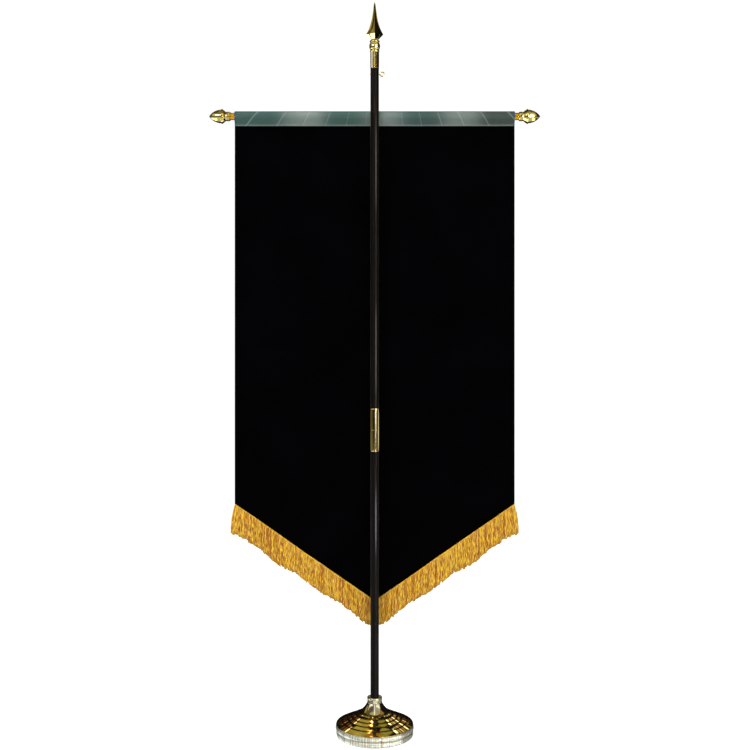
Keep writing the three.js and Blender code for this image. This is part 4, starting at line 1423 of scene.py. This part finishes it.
    def tape_stitches(self, context, sizes, side, name, slope, lean):
        """Stitches along the tape's lower part, on both of its faces."""
        pitch, stitch, thread = 3.6 * MM, 2.9 * MM, 0.32 * MM
        count = int(HALF_WIDTH / pitch) - 1
        low = GAP + 0.84 * sizes.fringe_heading
        points, faces = [], []
        for face in (-1, 1):
            for n in range(count):
                x = (n + 0.5) * pitch
                edge = float(cloth_edge(sizes, np.array(x)))
                y = float(cloth_y(sizes, np.array(side * x), np.array(edge))) + face * 1.7 * MM
                run = np.array((side * stitch, 0, slope * stitch)) / lean
                add_stitch(points, faces, (side * x, y, edge - low * lean), run, thread)
        add_piece(context, name, points, faces, "gold_thread", "bullion")


class BANNER_OT_stage(bpy.types.Operator):
    """Set the pale floor, the soft studio light and the camera"""

    bl_idname = "banner.stage"
    bl_label = "Stage"

    def execute(self, context):
        self.floor(context)
        self.world(context)
        for softbox in SOFTBOXES:
            self.softbox(context, **softbox)
        self.camera(context)
        scene = context.scene
        scene.view_settings.view_transform = "Standard"
        scene.view_settings.look = "None"
        return {"FINISHED"}

    def floor(self, context):
        """A wide flat floor; the polished pieces mirror the room instead of it."""
        half = 14.0
        mesh = bpy.data.meshes.new("studio_floor")
        corners = [(-half, -half, 0), (half, -half, 0), (half, half, 0), (-half, half, 0)]
        mesh.from_pydata(corners, [], [(0, 1, 2, 3)])
        mesh.materials.append(pale_floor(context.scene.banner_colours))
        floor = bpy.data.objects.new("studio_floor", mesh)
        floor.visible_glossy = False
        context.scene.collection.objects.link(floor)

    def world(self, context):
        """White behind the object, soft fill on cloth, and a dim room that the polished pieces mirror."""
        world = bpy.data.worlds.new("studio")
        world.use_nodes = True
        tree = world.node_tree
        tree.nodes.clear()
        mirrored = add_node(tree, "Background", (self.mirrored_room(tree), 1.0))
        fill = add_node(tree, "Background", ((0.98, 0.99, 1.0, 1.0), 0.62))
        behind = add_node(tree, "Background", ((1.0, 1.0, 1.0, 1.0), 1.05))
        rays = add_node(tree, "LightPath").outputs
        lit = add_node(tree, "MixShader", (rays["Is Glossy Ray"], fill, mirrored))
        seen = add_node(tree, "MixShader", (rays["Is Camera Ray"], lit, behind))
        add_node(tree, "OutputWorld", {"Surface": seen})
        context.scene.world = world

    def mirrored_room(self, tree):
        """The room's tones by height, with every panel and card added to them."""
        place = add_node(tree, "TexCoord").outputs["Generated"]
        axes = add_node(tree, "SeparateXYZ", [place]).outputs
        back = add_node(tree, "Math", (axes["Y"], -1.0), operation="MULTIPLY")
        azimuth = add_node(tree, "Math", (axes["X"], back), operation="ARCTAN2")
        elevation = add_node(tree, "Math", [axes["Z"]], operation="ARCSINE")
        height = add_node(tree, "MapRange", (axes["Z"], -1.0, 1.0))
        room = add_node(tree, "ValToRGB", [height], ramp=ROOM_TONES)
        for row in PANELS:
            panel = dict(zip(PANEL_COLUMNS, row))
            across = self.panel_share(tree, azimuth, panel["azimuth"], panel["wide"], panel["soft"])
            upward = self.panel_share(tree, elevation, panel["elevation"], panel["tall"], panel["soft"])
            covered = add_node(tree, "Math", (across, upward), operation="MULTIPLY")
            glow = scaled(linear(panel["tint"]), panel["strength"])
            room = add_node(tree, "VectorMath", (covered, glow, room), operation="MULTIPLY_ADD")
        return add_node(tree, "VectorMath", (room, DARKEST_TONE), operation="MAXIMUM")

    def panel_share(self, tree, angle, middle, half, soft):
        """One inside a panel's half size along an angle, zero outside it, and soft at the edge."""
        away = add_node(tree, "Math", (angle, math.radians(middle)), operation="SUBTRACT")
        turn = add_node(tree, "Math", (away, math.pi, -math.pi), operation="WRAP")
        size = add_node(tree, "Math", [turn], operation="ABSOLUTE")
        inner, outer = math.radians(max(0.0, half - soft)), math.radians(half + soft)
        return add_node(tree, "MapRange", (size, inner, outer, 1.0, 0.0), **SOFT)

    def softbox(self, context, name, at, aim, size, power):
        """A rectangular light turned towards its aim, which the polished pieces don't mirror."""
        lamp = bpy.data.lights.new(name, "AREA")
        lamp.shape = "RECTANGLE"
        lamp.size, lamp.size_y = size
        lamp.energy = power
        holder = bpy.data.objects.new(name, lamp)
        holder.location = at
        holder.rotation_euler = (Vector(aim) - Vector(at)).to_track_quat("-Z", "Y").to_euler()
        holder.visible_glossy = False
        context.scene.collection.objects.link(holder)

    def camera(self, context):
        """A level view from the front, with the horizon a little above the middle of the frame."""
        lens = bpy.data.cameras.new("camera")
        lens.lens = 59.2
        lens.sensor_width = 36
        lens.shift_y = -0.14
        viewer = bpy.data.objects.new("camera", lens)
        viewer.location = (0.0011, -4.0, 1.505)
        viewer.rotation_euler = (math.pi / 2, 0, 0)
        context.scene.collection.objects.link(viewer)
        context.scene.camera = viewer


class BANNER_PT_panel(bpy.types.Panel):
    """The banner's pieces and the values that shape them"""

    bl_label = "Church Banner"
    bl_space_type = "VIEW_3D"
    bl_region_type = "UI"
    bl_category = "Banner"

    def draw(self, context):
        for operator in OPERATORS:
            self.layout.operator(operator.bl_idname)
        for group in (context.scene.banner_sizes, context.scene.banner_colours):
            box = self.layout.box()
            for name in group.bl_rna.properties.keys():
                if name not in ("rna_type", "name"):
                    box.prop(group, name)


OPERATORS = (
    BANNER_OT_base,
    BANNER_OT_pole,
    BANNER_OT_finial,
    BANNER_OT_crossbar,
    BANNER_OT_sleeve,
    BANNER_OT_fringe,
    BANNER_OT_cloth,
    BANNER_OT_stage,
)
CLASSES = (BannerSizes, BannerColours, *OPERATORS, BANNER_PT_panel)


def register():
    for made in CLASSES:
        bpy.utils.register_class(made)
    bpy.types.Scene.banner_sizes = PointerProperty(type=BannerSizes)
    bpy.types.Scene.banner_colours = PointerProperty(type=BannerColours)


def unregister():
    del bpy.types.Scene.banner_colours
    del bpy.types.Scene.banner_sizes
    for made in reversed(CLASSES):
        bpy.utils.unregister_class(made)


def main():
    register()
    bpy.ops.banner.base()
    bpy.ops.banner.pole()
    bpy.ops.banner.finial()
    bpy.ops.banner.crossbar()
    bpy.ops.banner.sleeve()
    bpy.ops.banner.fringe()
    bpy.ops.banner.cloth()
    bpy.ops.banner.stage()


if __name__ == "__main__":
    main()
